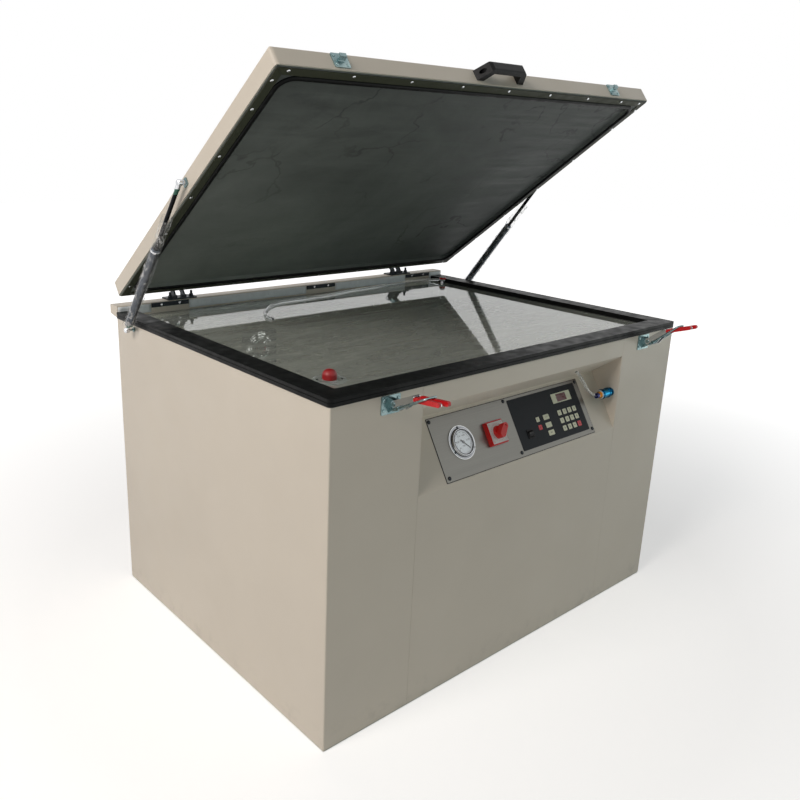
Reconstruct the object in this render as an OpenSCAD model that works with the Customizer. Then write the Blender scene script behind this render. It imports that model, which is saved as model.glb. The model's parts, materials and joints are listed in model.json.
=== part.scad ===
// Screen printing exposure unit: a sheet-steel cabinet with a glass table and a hinged vacuum
// blanket lid, held open by two gas struts.
// Millimetres. Origin on the floor under the middle of the cabinet, +X right, -Y front, +Z up.

/* [Cabinet] */
// Width of the cabinet across its side panels
body_w = 1350; // [1320:1:1500]
// Depth of the cabinet, front face to back edge
body_d = 1010; // [1000:1:1150]
// Height of the sheet cabinet
body_h = 852; // [848:1:900]
// Thickness of the sheet steel
sheet_t = 2; // [1.5:0.1:2.5]
// Inner radius of the folds
fold_r = 1.5; // [1:0.1:2.5]
// Height of the panels' lower edges above the floor
floor_gap = 4; // [3.5:0.5:8]
// Distance of the front seams from the middle
seam_x = 407; // [402:1:430]
// Gap left at each seam
seam_gap = 0.6; // [0.4:0.1:1.5]
// Width of the flanges folded round the top
flange_w = 40; // [36:1:44]

/* [Control recess] */
// Drop from the cabinet's top edge to the recess
recess_drop = 53; // [50:1:60]
// Depth of the recess at its crease
recess_depth = 95; // [85:1:105]
// Height of the recess's short upper slope
upper_rise = 67; // [60:1:75]
// Height of the recess's long lower slope
lower_rise = 153; // [148:1:170]

/* [Control plate] */
// Width of the stainless control plate
plate_w = 616; // [600:1:660]
// Height of the stainless control plate along the slope
plate_h = 163; // [158:1:168]
// Thickness of the stainless control plate
plate_t = 1.5; // [1:0.1:2]
// Width of the keypad membrane
pad_w = 297; // [290:1:305]
// Height of the keypad membrane
pad_h = 143; // [138:1:148]
// Thickness of the keypad membrane
pad_t = 0.8; // [0.5:0.1:1.2]
// Outer diameter of the gauge flange
gauge_flange = 88; // [80:1:94]
// Diameter of the gauge dial
gauge_dial_d = 62; // [56:1:66]
// Side of the square switch base
switch_w = 64; // [58:1:68]
// Height of the square switch base
switch_h = 14; // [10:1:18]
// Length of the switch knob's grip
knob_l = 44; // [38:1:50]
// Width of the rocker switch frame
rocker_w = 26; // [24:1:30]
// Height of the rocker switch frame
rocker_h = 25; // [24:1:30]

/* [Slide valve] */
// Outer diameter of the sliding sleeve
sleeve_d = 30; // [28:1:34]
// Length of the sliding sleeve
sleeve_l = 32; // [28:1:34]
// Travel of the sliding sleeve
sleeve_travel = 8; // [6:1:10]
// Outer diameter of the clear air tube
tube_d = 8; // [6:1:10]

/* [Table] */
// Thickness of the table glass
glass_t = 8; // [6:1:10]
// Height of the black sealing frame
gasket_h = 18; // [15:1:24]
// Width by which the sealing frame laps the glass
gasket_lap = 13; // [10:1:20]
// Height of the rear rail
rail_h = 35; // [33:1:38]
// Depth of the rear rail
rail_d = 47; // [45:1:55]

/* [Lid] */
// Overhang of the lid past each side panel
lid_over = 5; // [2:0.5:10]
// Height of the lid's side
lid_h = 43; // [41:1:46]
// Thickness of the rubber blanket
blanket_t = 2; // [1.5:0.1:3]
// Height of the sealing bead
bead_h = 6; // [5:0.5:9]
// Width of the sealing bead
bead_w = 12; // [9:1:14]
// Width of the clamp strips
strip_w = 20; // [16:1:20]
// Thickness of the clamp strips
strip_t = 2; // [1.5:0.5:3]
// Angle at which the struts hold the lid open
open_angle = 36.8; // [30:0.1:40]
// Distance of the hinges from the middle
hinge_x = 460; // [400:1:520]
// Diameter of the hinge pins
hinge_pin_d = 10; // [8:1:12]
// Width of the lid handle
handle_w = 175; // [160:1:200]
// Reach of the lid handle
handle_reach = 41; // [36:1:50]

/* [Latches] */
// Distance of the latches from the middle
latch_x = 507; // [490:1:560]
// Length of a latch handle from its pivot
latch_l = 150; // [135:1:165]
// Angle of the left and right handles above level
latch_rest = [20, 33]; // [0:1:45]
// Angle of the left and right U-bolts above level
bolt_rest = [27.6, 40.6]; // [0:1:60]
// Diameter of the U-bolt wire
bolt_d = 5; // [4:0.5:6]

/* [Gas struts] */
// Outer diameter of the strut tube
strut_d = 23; // [18:1:26]
// Length of the strut tube
strut_tube = 300; // [280:1:310]
// Diameter of the strut rod
strut_rod_d = 11; // [8:1:12]
// Diameter of the ball studs' balls
ball_d = 10; // [8:1:12]
// Distance of the struts from the side panels
strut_off = 22; // [20:1:30]

/* [Fan] */
// Side of the square cooling fan
fan_w = 120; // [110:1:140]
// Depth of the cooling fan
fan_d = 25; // [22:1:38]
// Number of fan blades
fan_blades = 7; // [5:1:9]

/* [Hidden] */
$fn = 48;
eps = 0.01;
// Clearance round a running pin
fit = 0.05;
// Steps in each fold's arc
fold_steps = 4;

// Cabinet planes
half_w = body_w / 2;
front_y = -body_d / 2;
back_y = body_d / 2;
inner_x = half_w - sheet_t;
inner_front = front_y + sheet_t;
back_face = back_y - sheet_t;
inner_back = back_face - sheet_t;
back_flange = 5;
return_w = 40;
side_gap = 0.6;

// Control recess
recess_top = body_h - recess_drop;
crease_y = front_y + recess_depth;
crease_z = recess_top - upper_rise;
recess_bottom = crease_z - lower_rise;
lean = atan2(recess_depth, lower_rise);
slope_l = norm([recess_depth, lower_rise]);
upper_lean = atan2(upper_rise, recess_depth);
panel_half = seam_x - seam_gap;
cheek_in = panel_half - sheet_t;

// Control plate layout, as [across, down the slope from the crease]
plate_x = 5;
plate_left = plate_x - plate_w / 2;
plate_right = plate_x + plate_w / 2;
plate_s = slope_l / 2 + 2;
pad_at = [plate_right - 20 - pad_w / 2, plate_s - 2.5];
pad_top = plate_t + pad_t;
gauge_at = [plate_left + 90, plate_s - 3];
switch_at = [plate_left + 213.5, plate_s - 1];
rocker_at = [pad_at[0] - 100.5, plate_s + 30];
display_at = [pad_at[0] + 77.5, plate_s - 43];
display_size = [44, 22];
window = [plate_w - 26, plate_h - 33];
key_t = 0.4;
key_x = [for (x = [45, 68.5, 91, 113.5]) pad_at[0] + x];
key_s = [-1.3, 21.5, 44];
key_size = [16.5, 15.6];
wide_key_x = pad_at[0] - 16.5;
wide_key_size = [25.5, 15.3];
small_key_x = pad_at[0] - 53.5;
small_key_size = [15, 14];
screw_at = [[plate_left + 6, 7.5 - plate_h / 2], [plate_left + 11, plate_h / 2 - 9.5],
    [-17, 6.5 - plate_h / 2], [-14, plate_h / 2 - 11.5],
    [plate_right - 10, 7.5 - plate_h / 2], [plate_right - 7, plate_h / 2 - 11.5]];
screw_hole = 3.4;

// Gauge, switch and rocker heights above the slope
gauge_body_d = 62;
gauge_body_l = 38;
gauge_rim = 5;
gauge_h = 11;
gauge_screw_in = 4;
dial_up = plate_t + 4;
needle_up = dial_up + 1.5;
spindle_d = 2.5;
needle_rest = -45;
shaft_d = 8;
knob_h = 26;
rocker_pin_d = 3;
rocker_tilt = 10;
rocker_depth = 14;

// Slide valve
valve_y = front_y + 25;
valve_z = crease_z - 47;
valve_core_d = 20;
valve_l = 52;
valve_collar = 5;
valve_x0 = cheek_in - valve_l;

// Frames inside
angle_t = 3;
angle_w = 40;
fold_cut = fold_r + 0.2;
frame_top = body_h - sheet_t;
shelf_w = flange_w + 12;
pad_ring_t = 2;
glass_z = body_h - 5;
shelf_top = glass_z - pad_ring_t;
frame_drop = 45;
glass_half = half_w - flange_w - 2;
glass_y0 = front_y + flange_w + 2;
glass_y1 = back_face - back_flange - 1;
glass_top = glass_z + glass_t;

// Sealing frame and rear rail
rail_y = back_y - 5;
rail_top = body_h + rail_h;
table_top = body_h + gasket_h;
gasket_over = 2.5;
groove_w = 2;
groove_d = 1.5;
groove_z = body_h + gasket_h * 0.47;

// Lid, modelled closed and swung open about the hinge axis
lid_w = body_w + 2 * lid_over;
lid_half = lid_w / 2;
lid_y0 = front_y;
lid_y1 = rail_y - 9;
bead_z = table_top + 0.3;
flange_z = bead_z + bead_h;
lid_z = flange_z + blanket_t;
lid_top = lid_z + lid_h;
hinge_y = rail_y + 49;
hinge_z = rail_top + 32;
frame_w = 36;
pocket_rise = 6.5;
blanket_in = 40;
bead_in = 27;
strip_in = 6;
screw_in = 13;
plan_r = 10;
top_r = 4;
blanket_r = 32;

// Latches: outward offset and height of the pivot, and the U-bolt's pivot on the handle
latch_o = 20;
latch_z = body_h - 17;
latch_pin_d = 6;
trunnion_d = 9;
trunnion_r = 22;
trunnion_lag = 25;
lug_gap = 5.5;
lug_t = 2;
link_in = lug_gap + lug_t + 0.3;
link_t = 2.2;
link_mid = link_in + link_t / 2;
link_end = [62, 6];
grip_end = [latch_l - 8, -14];
grip_r = 5.5;
lobe_r = 7;
bolt_half = 16.5;
bolt_l = 91;
bolt_tail = 15;
striker_x = latch_x;

// Gas struts: lower ball and, in the closed lid, upper ball, as [y, z]
strut_x = half_w + strut_off;
strut_low = [back_y - 113, body_h - 12];
strut_up_closed = [-53, lid_z + 24];
hinge = [hinge_y, hinge_z];
strut_up = opened(strut_up_closed);
strut_span = strut_up - strut_low;
strut_len = norm(strut_span);
strut_closed = norm(strut_up_closed - strut_low);
strut_stroke = strut_len - strut_closed;
strut_tilt = atan2(-strut_span[0], strut_span[1]);
socket_d = ball_d + 6;
socket_l = 12;
neck_l = 22;
neck_d = ball_d;
stud_d = ball_d - 4;
rod_hold = 60;
bracket_t = 3;

// Fan, ports and services
fan_x = -190;
fan_z = body_h - 162;
fan_spindle_d = 5;
port_at = [74 - glass_half, glass_y0 + 107];
port_d = 80;
port_cap_d = 34;
port_cap_h = 26;
hose_up = tube_d / 2 + 0.2;
fitting_at = [glass_half - 27, rail_y - 79];
fitting_d = 24;

steel = [0.80, 0.75, 0.68];
inside_grey = [0.55, 0.56, 0.55];
black = [0.10, 0.10, 0.11];

// Point [y, z] of the closed lid after the lid swings open
function opened(p) = hinge + turned(p - hinge, -open_angle);

function turned(v, a) = [v[0] * cos(a) - v[1] * sin(a), v[0] * sin(a) + v[1] * cos(a)];

function unit(v) = v / norm(v);

function left_of(v) = [-v[1], v[0]];

function reversed(list) = [for (i = [len(list) - 1:-1:0]) list[i]];

// One face of a folded sheet along path p: side 0 follows the path, side 1 lies t to its left
function fold_line(p, t, r, side) = [
    for (i = [0:len(p) - 1])
        let (
            last = len(p) - 1,
            a = unit(i == 0 ? p[1] - p[0] : p[i] - p[i - 1]),
            b = unit(i == last ? p[i] - p[i - 1] : p[i + 1] - p[i]),
            way = sign(a[0] * b[1] - a[1] * b[0]),
            bend = acos(min(1, a * b)),
            path_r = way > 0 ? r + t : r,
            middle = p[i] - a * path_r * tan(bend / 2) + way * path_r * left_of(a),
            arc_r = path_r - side * way * t
        )
        for (k = [0:(way == 0 ? 0 : fold_steps)])
            way == 0 ? p[i] + side * t * left_of(a)
                : middle + turned(-way * left_of(a), way * bend * k / fold_steps) * arc_r
];

function folded(p, t, r) = concat(fold_line(p, t, r, 0), reversed(fold_line(p, t, r, 1)));

// Rectangle from [x0, y0] to [x1, y1] with corners of radius r
function rounded(x0, y0, x1, y1, r, n = 6) = r <= 0
    ? [[x0, y0], [x1, y0], [x1, y1], [x0, y1]]
    : [for (q = [0:3], k = [0:n])
        let (
            cx = q == 0 || q == 3 ? x1 - r : x0 + r,
            cy = q < 2 ? y1 - r : y0 + r,
            a = q * 90 + k * 90 / n
        )
        [cx + r * cos(a), cy + r * sin(a)]];

// Outline of the smallest shape round two circles
function tapered(p, q, rp, rq, n = 10) =
    let (
        d = q - p,
        aim = atan2(d[1], d[0]),
        b = acos((rp - rq) / norm(d))
    )
    concat(
        [for (k = [0:n]) p + rp * [cos(aim + b + (360 - 2 * b) * k / n),
            sin(aim + b + (360 - 2 * b) * k / n)]],
        [for (k = [0:n]) q + rq * [cos(aim - b + 2 * b * k / n),
            sin(aim - b + 2 * b * k / n)]]);

// Smooth route through the points p, with n steps between neighbours
function route(p, n) = concat(
    [for (i = [0:len(p) - 2], k = [0:n - 1])
        let (
            a = p[max(i - 1, 0)],
            b = p[i],
            c = p[i + 1],
            d = p[min(i + 2, len(p) - 1)],
            t = k / n
        )
        0.5 * (2 * b + (c - a) * t + (2 * a - 5 * b + 4 * c - d) * pow(t, 2)
            + (3 * b - a - 3 * c + d) * pow(t, 3))],
    [p[len(p) - 1]]);

// Sheet section in the Y-Z plane drawn out along X
module along_x(w) rotate([90, 0, 90]) linear_extrude(w, center = true) children();

// Section with outward (-Y) to the right and up upwards, drawn out along X
module outward_x(w) rotate([90, 0, -90]) linear_extrude(w, center = true) children();

module rod_x(d, w) rotate([0, 90, 0]) cylinder(d = d, h = w, center = true);

module both_sides() {
    children();
    mirror([1, 0, 0]) children();
}

// Frame lying flat between the inset rectangles in0 and in1 of the lid
module lid_ring(in0, in1, z, h, r0 = 0, r1 = 0) {
    translate([0, 0, z])
        linear_extrude(h)
            difference() {
                polygon(rounded(-lid_half + in0, lid_y0 + in0, lid_half - in0, lid_y1 - in0, r0));
                polygon(rounded(-lid_half + in1, lid_y0 + in1, lid_half - in1, lid_y1 - in1, r1));
            }
}

// Frame lying flat inside the cabinet's sheet walls, its corners cut clear of the folds
module body_ring(in0, in1, z, h) {
    translate([0, 0, z])
        linear_extrude(h)
            difference() {
                polygon(rounded(-half_w + in0, front_y + in0, half_w - in0,
                    inner_back + sheet_t - in0, fold_cut, 1));
                polygon(rounded(-half_w + in1, front_y + in1, half_w - in1,
                    inner_back + sheet_t - in1, 0));
            }
}

module in_lid() {
    translate([0, hinge_y, hinge_z])
        rotate([-open_angle, 0, 0])
            translate([0, -hinge_y, -hinge_z])
                children();
}

// Frame of the control slope: across, up the slope, and out of it
module on_slope(at = [0, 0], up = 0) {
    translate([0, crease_y, crease_z])
        rotate([90 - lean, 0, 0])
            translate([at[0], -at[1], up])
                children();
}

module at_latch(side) translate([side * latch_x, front_y - latch_o, latch_z]) children();

module on_strut(side) {
    translate([side * strut_x, strut_low[0], strut_low[1]])
        rotate([strut_tilt, 0, 0])
            children();
}

module pan_head(d, h) {
    cylinder(d = d, h = h * 0.4);
    translate([0, 0, h * 0.4]) cylinder(d1 = d, d2 = d * 0.6, h = h * 0.6);
}

// Tube of diameter d along the points p, with n sides
module swept_tube(p, d, n = 8) {
    last = len(p) - 1;
    rings = [for (i = [0:last])
        let (
            t = unit(p[min(i + 1, last)] - p[max(i - 1, 0)]),
            e = unit(cross(t, [0, 1, 0.2])),
            f = cross(t, e)
        )
        for (k = [0:n - 1])
            p[i] + d / 2 * (e * cos(360 * k / n) + f * sin(360 * k / n))];
    walls = [for (i = [0:last - 1], k = [0:n - 1])
        let (a = i * n + k, b = i * n + (k + 1) % n)
        each [[a, b, b + n], [a, b + n, a + n]]];
    ends = [
        for (k = [1:n - 2]) [0, k + 1, k],
        for (k = [1:n - 2]) [last * n, last * n + k, last * n + k + 1]];
    polyhedron(points = rings, faces = [for (w = concat(walls, ends)) reversed(w)]);
}

// Side panel: front return, side and back return folded from one sheet, with a top flange
module side_panel() {
    path = [[seam_x, front_y], [half_w, front_y], [half_w, back_y],
        [half_w - return_w, back_y]];
    translate([0, 0, floor_gap])
        linear_extrude(body_h - floor_gap)
            polygon(folded(path, sheet_t, fold_r));
    translate([0, 0, frame_top])
        linear_extrude(sheet_t)
            polygon(concat(fold_line(path, sheet_t, fold_r, 0),
                [[half_w - flange_w, front_y + flange_w], [seam_x, front_y + flange_w]]));
}

module right_side_panel() color(steel) side_panel();

module left_side_panel() color(steel) mirror([1, 0, 0]) side_panel();

// Centre front panel: one sheet folded into the recess, with cheeks closing its ends
module front_panel() {
    path = [[front_y + flange_w, body_h], [front_y, body_h], [front_y, recess_top],
        [crease_y, crease_z], [front_y, recess_bottom], [front_y, floor_gap]];
    color(steel)
        difference() {
            union() {
                along_x(2 * panel_half) polygon(folded(path, sheet_t, fold_r));
                both_sides()
                    translate([cheek_in + sheet_t / 2, 0, 0])
                        along_x(sheet_t)
                            polygon([[front_y + 0.2, recess_top + 0.5],
                                [crease_y + sheet_t / 2, crease_z],
                                [front_y + 0.2, recess_bottom - 0.5]]);
            }
            on_slope([plate_x, plate_s])
                linear_extrude(6 * sheet_t, center = true)
                    polygon(rounded(-window[0] / 2, -window[1] / 2, window[0] / 2,
                        window[1] / 2, 6));
            for (a = screw_at)
                on_slope([a[0], plate_s + a[1]]) cylinder(d = screw_hole, h = 20, center = true);
            tube_hole();
        }
}

// Hole for the clear tube, square to the upper slope
module tube_hole() {
    translate(tube_route[0])
        rotate([-upper_lean, 0, 0])
            cylinder(d = tube_d + 1, h = 20, center = true);
}

module back_panel() {
    path = [[back_face, floor_gap], [back_face, body_h], [back_face - back_flange, body_h]];
    flange_half = half_w - flange_w - side_gap;
    wall_half = inner_x - 3;
    color(steel)
        difference() {
            union() {
                along_x(2 * flange_half) polygon(folded(path, sheet_t, fold_r));
                translate([-wall_half, inner_back, floor_gap])
                    cube([2 * wall_half, sheet_t, frame_top - floor_gap - 0.2]);
                louvre_bank() louvre_hood();
            }
            louvre_bank() louvre_slot();
            translate([fan_x, back_y, fan_z]) rotate([90, 0, 0]) cylinder(d = fan_w - 8, h = 20);
            gland_place() cylinder(d = gland_d, h = 20, center = true);
        }
}

louvre_w = 110;
louvre_pitch = 16;
louvre_count = 8;
louvre_z = 150;
louvre_x = 330;
louvre_out = 6;
gland_d = 16;
gland_at = [560, 120];

module louvre_bank() {
    for (side = [-1, 1], i = [0:louvre_count - 1])
        translate([side * louvre_x, back_face, louvre_z + i * louvre_pitch])
            children();
}

module louvre_hood() {
    along_x(louvre_w)
        polygon([[-eps, 9], [louvre_out, 1], [louvre_out, -1], [louvre_out - 1.2, -1],
            [louvre_out - 1.2, 0.6], [-eps, 7]]);
    for (side = [-1, 1])
        translate([side * (louvre_w / 2 - 0.6), 0, 0])
            along_x(1.2) polygon([[-eps, 9], [louvre_out, 1], [louvre_out, -1], [-eps, -1]]);
}

module louvre_slot() {
    translate([-louvre_w / 2 + 3, -2 * sheet_t, -0.5])
        cube([louvre_w - 6, 2 * sheet_t + eps, 6]);
}

module gland_place() translate([gland_at[0], back_face, gland_at[1]]) rotate([-90, 0, 0]) children();

module floor_pan() {
    notch = angle_w + sheet_t + 1;
    color(inside_grey)
        translate([0, 0, angle_t])
            difference() {
                translate([-inner_x + angle_t + 0.5, inner_front + angle_t + 0.5, 0])
                    cube([2 * (inner_x - angle_t - 0.5),
                        inner_back - inner_front - 2 * angle_t - 1, sheet_t]);
                for (x = [-1, 1], y = [inner_front, inner_back])
                    translate([x * inner_x, y, 0]) cube([2 * notch, 2 * notch, 20], center = true);
                for (i = [-4:4], y = [-180, 180])
                    translate([i * 40, y, 0])
                        linear_extrude(20, center = true)
                            polygon(rounded(-5, -60, 5, 60, 4.9, 4));
            }
}

module post() {
    linear_extrude(frame_top - frame_drop - angle_t)
        polygon([[0, fold_cut], [-fold_cut, 0], [-angle_w, 0], [-angle_w, angle_t],
            [-angle_t, angle_t], [-angle_t, angle_w], [0, angle_w]]);
}

module base_frame() {
    color(inside_grey) {
        body_ring(sheet_t, sheet_t + angle_w, 0, angle_t);
        body_ring(sheet_t, sheet_t + angle_t, 0, angle_w);
        translate([-inner_x + angle_t, -angle_w / 2, 0])
            cube([2 * (inner_x - angle_t), angle_w, angle_t]);
        both_sides() {
            translate([inner_x, inner_front, angle_t]) post();
            translate([inner_x, inner_back, angle_t]) mirror([0, 1, 0]) post();
        }
    }
}

// Angle ring under the flanges, with the shelf that carries the glass
module top_frame() {
    color(inside_grey) {
        body_ring(sheet_t, sheet_t + angle_t, frame_top - frame_drop, frame_drop - fold_cut);
        body_ring(sheet_t + fold_cut, sheet_t + angle_t, frame_top - fold_cut, fold_cut);
        body_ring(sheet_t, shelf_w, shelf_top - angle_t, angle_t);
    }
}

module glass_ring(in0, in1, z, h) {
    translate([0, 0, z])
        linear_extrude(h)
            difference() {
                polygon(rounded(-glass_half + in0, glass_y0 + in0, glass_half - in0,
                    glass_y1 - in0, 0));
                polygon(rounded(-glass_half + in1, glass_y0 + in1, glass_half - in1,
                    glass_y1 - in1, 0));
            }
}

module glass_pad() color(black) glass_ring(0, shelf_w - flange_w - 2, shelf_top, pad_ring_t);

module glass() {
    color([0.45, 0.50, 0.47, 0.6])
        translate([-glass_half, glass_y0, glass_z])
            cube([2 * glass_half, glass_y1 - glass_y0, glass_t]);
}

// Sealing frame: a black section with a side groove, lapping the glass on the three sides in
// front of the rear rail
module table_gasket() {
    x_out = half_w + gasket_over;
    y_out = front_y - gasket_over;
    color(black)
        difference() {
            translate([0, 0, body_h])
                linear_extrude(gasket_h)
                    difference() {
                        polygon(concat([[x_out, rail_y], [-x_out, rail_y]],
                            [for (k = [0:6]) [-x_out + plan_r * (1 - sin(15 * k + 90)),
                                y_out + plan_r * (1 - sin(15 * k))]],
                            [for (k = [0:6]) [x_out - plan_r * (1 - sin(15 * k)),
                                y_out + plan_r * (1 - cos(15 * k))]]));
                        polygon(rounded(-glass_half + gasket_lap, glass_y0 + gasket_lap,
                            glass_half - gasket_lap, rail_y + 10, 3));
                    }
            translate([-glass_half - 0.5, glass_y0 - 0.5, body_h - 1])
                cube([2 * glass_half + 1, glass_y1 - glass_y0 + 1, glass_top - body_h + 1.2]);
            translate([0, 0, groove_z])
                linear_extrude(groove_w)
                    difference() {
                        square(2 * body_w, center = true);
                        polygon(rounded(-x_out + groove_d, y_out + groove_d, x_out - groove_d,
                            rail_y + 50, plan_r - groove_d));
                    }
        }
}

// Rear rail: one folded sheet with closed ends, standing behind the table
module rear_rail() {
    path = [[rail_y + 6, body_h + 1], [rail_y + rail_d, body_h + 8],
        [rail_y + rail_d, rail_top], [rail_y, rail_top], [rail_y, body_h]];
    color(steel) {
        along_x(body_w) polygon(folded(path, sheet_t, fold_r));
        both_sides()
            translate([half_w - sheet_t / 2, 0, 0])
                along_x(sheet_t)
                    polygon([[rail_y + 0.6, body_h + 0.1], [rail_y + 6, body_h + 1.2],
                        [rail_y + rail_d - 0.6, body_h + 8.6],
                        [rail_y + rail_d - 0.6, rail_top - 0.6],
                        [rail_y + 0.6, rail_top - 0.6]]);
    }
}

module control_plate() {
    color([0.66, 0.66, 0.65])
        on_slope([plate_x, plate_s])
            difference() {
                linear_extrude(plate_t)
                    polygon(rounded(-plate_w / 2, -plate_h / 2, plate_w / 2, plate_h / 2, 1.5, 3));
                for (a = screw_at)
                    translate([a[0] - plate_x, -a[1], 0])
                        cylinder(d = screw_hole, h = 10, center = true);
                slope_hole(gauge_at) cylinder(d = gauge_body_d + 1, h = 10, center = true);
                slope_hole(switch_at) cylinder(d = 30, h = 10, center = true);
                slope_hole(rocker_at)
                    cube([rocker_w - 3, rocker_h - 3, 10], center = true);
                slope_hole(display_at)
                    cube([display_size[0] - 4, display_size[1] - 4, 10], center = true);
            }
}

// Moves to a control's place from the middle of the control plate
module slope_hole(at) translate([at[0] - plate_x, plate_s - at[1], 0]) children();

module key(x, s, size) {
    on_slope([x, s], pad_top)
        linear_extrude(key_t)
            polygon(rounded(-size[0] / 2, -size[1] / 2, size[0] / 2, size[1] / 2, 2, 3));
}

module control_membrane() {
    color([0.14, 0.15, 0.17])
        union() {
            on_slope(pad_at, plate_t)
                difference() {
                    linear_extrude(pad_t)
                        polygon(rounded(-pad_w / 2, -pad_h / 2, pad_w / 2, pad_h / 2, 3, 3));
                    translate([rocker_at[0] - pad_at[0], pad_at[1] - rocker_at[1], 0])
                        cube([rocker_w - 3, rocker_h - 3, 10], center = true);
                    translate([display_at[0] - pad_at[0], pad_at[1] - display_at[1], 0])
                        cube([display_size[0] + 0.4, display_size[1] + 0.4, 10], center = true);
                }
            for (x = key_x, s = key_s) key(x, plate_s + s, key_size);
            for (s = key_s) key(wide_key_x, plate_s + s, wide_key_size);
            for (s = key_s) if (s < 40) key(small_key_x, plate_s + s, small_key_size);
        }
}

module display_lens() {
    color([0.75, 0.10, 0.12])
        on_slope(display_at, plate_t)
            linear_extrude(pad_t)
                square(display_size, center = true);
}

module gauge_case() {
    color([0.72, 0.73, 0.74])
        on_slope(gauge_at)
            difference() {
                union() {
                    translate([0, 0, plate_t]) cylinder(d = gauge_flange, h = 2.5);
                    translate([0, 0, plate_t + 2.5])
                        cylinder(d1 = gauge_dial_d + 2 * gauge_rim + 2,
                            d2 = gauge_dial_d + 2 * gauge_rim - 3, h = gauge_h - 4);
                    translate([0, 0, -gauge_body_l])
                        cylinder(d = gauge_body_d, h = gauge_body_l + plate_t + 1);
                    translate([0, 0, -gauge_body_l - 14]) cylinder(d = 14, h = 15);
                }
                translate([0, 0, dial_up - 1]) cylinder(d = gauge_dial_d, h = gauge_h);
                for (a = [90, 210, 330])
                    rotate(a)
                        translate([gauge_flange / 2 - gauge_screw_in, 0, 0])
                            cylinder(d = screw_hole, h = 20);
            }
}

module gauge_dial() {
    color("white")
        on_slope(gauge_at, dial_up - 1) {
            cylinder(d = gauge_dial_d, h = 1);
            cylinder(d = spindle_d, h = 3.6);
        }
}

module gauge_needle() {
    color(black)
        on_slope(gauge_at, needle_up)
            rotate(needle_rest)
                difference() {
                    union() {
                        linear_extrude(0.6)
                            polygon(tapered([-8, 0], [gauge_dial_d / 2 - 6, 0], 1.8, 0.5, 6));
                        cylinder(d = 7, h = 1.2);
                    }
                    cylinder(d = spindle_d + 2 * fit, h = 10, center = true);
                }
}

module gauge_lens() {
    color([0.8, 0.85, 0.85, 0.35])
        on_slope(gauge_at, plate_t + gauge_h - 3.2)
            cylinder(d = gauge_dial_d, h = 1.7);
}

module switch_base() {
    color([0.80, 0.12, 0.13])
        on_slope(switch_at, plate_t)
            difference() {
                union() {
                    linear_extrude(switch_h - 4)
                        polygon(rounded(-switch_w / 2, -switch_w / 2, switch_w / 2,
                            switch_w / 2, 3, 3));
                    translate([0, 0, switch_h - 4])
                        linear_extrude(2.6)
                            polygon(rounded(-switch_w / 2 + 2, -switch_w / 2 + 2,
                                switch_w / 2 - 2, switch_w / 2 - 2, 3, 3));
                    translate([0, 0, -plate_t - 45]) cylinder(d = 29, h = 50);
                }
                cylinder(d = shaft_d + 2 * fit, h = switch_h + 10);
            }
}

module switch_plate() {
    color("white")
        on_slope(switch_at, plate_t + switch_h - 1.4)
            difference() {
                linear_extrude(1.4)
                    polygon(rounded(-switch_w / 2 + 4, -switch_w / 2 + 4, switch_w / 2 - 4,
                        switch_w / 2 - 4, 2, 3));
                cylinder(d = 26, h = 10, center = true);
            }
}

// Knob: round skirt, raised paddle grip at 45 degrees, and its shaft
module switch_knob() {
    skirt_up = plate_t + switch_h + 0.3;
    color([0.82, 0.14, 0.13])
        on_slope(switch_at)
            rotate(45) {
                translate([0, 0, skirt_up]) cylinder(d1 = 34, d2 = 30, h = 6);
                translate([0, 0, skirt_up + 5])
                    difference() {
                        linear_extrude(knob_h - 6)
                            polygon(tapered([-knob_l / 2 + 9, 0], [knob_l / 2 - 8, 0], 9, 8));
                        translate([knob_l / 2 - 8, 0, 3]) cylinder(d = 5, h = knob_h);
                    }
                translate([0, 0, plate_t + 2]) cylinder(d = shaft_d, h = switch_h);
            }
}

module rocker_frame() {
    wall_x = rocker_w - 4;
    wall_y = rocker_h - 4;
    color(black)
        on_slope(rocker_at) {
            difference() {
                union() {
                    translate([0, 0, pad_top])
                        linear_extrude(2)
                            polygon(rounded(-rocker_w / 2, -rocker_h / 2, rocker_w / 2,
                                rocker_h / 2, 2, 3));
                    translate([-wall_x / 2, -wall_y / 2, -rocker_depth - 2])
                        cube([wall_x, wall_y, rocker_depth + 2 + pad_top + 1]);
                }
                translate([-wall_x / 2 + 1.5, -wall_y / 2 + 1.2, -rocker_depth])
                    cube([wall_x - 3, wall_y - 2.4, 60]);
            }
            rod_x(rocker_pin_d, wall_x - 1);
        }
}

module rocker() {
    reach = rocker_h / 2 - 2 - 1.2 - 0.4;
    rise = 5.6;
    color(black)
        on_slope(rocker_at)
            rotate([rocker_tilt, 0, 0])
                difference() {
                    along_x(rocker_w - 4 - 3 - 0.6)
                        intersection() {
                            circle(r = reach);
                            polygon([[-20, -reach / 2], [20, -reach / 2], [20, rise + 4.4],
                                [0, rise], [-20, rise + 4.4]]);
                        }
                    rod_x(rocker_pin_d + 2 * fit, 60);
                }
}

module valve_frame() translate([valve_x0, valve_y, valve_z]) rotate([0, 90, 0]) children();

module slide_valve_body() {
    color([0.10, 0.32, 0.52])
        valve_frame() {
            cylinder(d = valve_core_d, h = valve_l);
            cylinder(d = 26, h = valve_collar);
            translate([0, 0, valve_l - valve_collar]) cylinder(d = 26, h = valve_collar);
            translate([0, 0, -3]) cylinder(d = 22, h = 3);
            translate([0, 0, -10]) cylinder(d = 17, h = 7, $fn = 6);
            translate([0, 0, -20])
                difference() {
                    cylinder(d = 15, h = 10);
                    translate([0, 0, -1]) cylinder(d = tube_d, h = 7);
                }
        }
}

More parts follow.
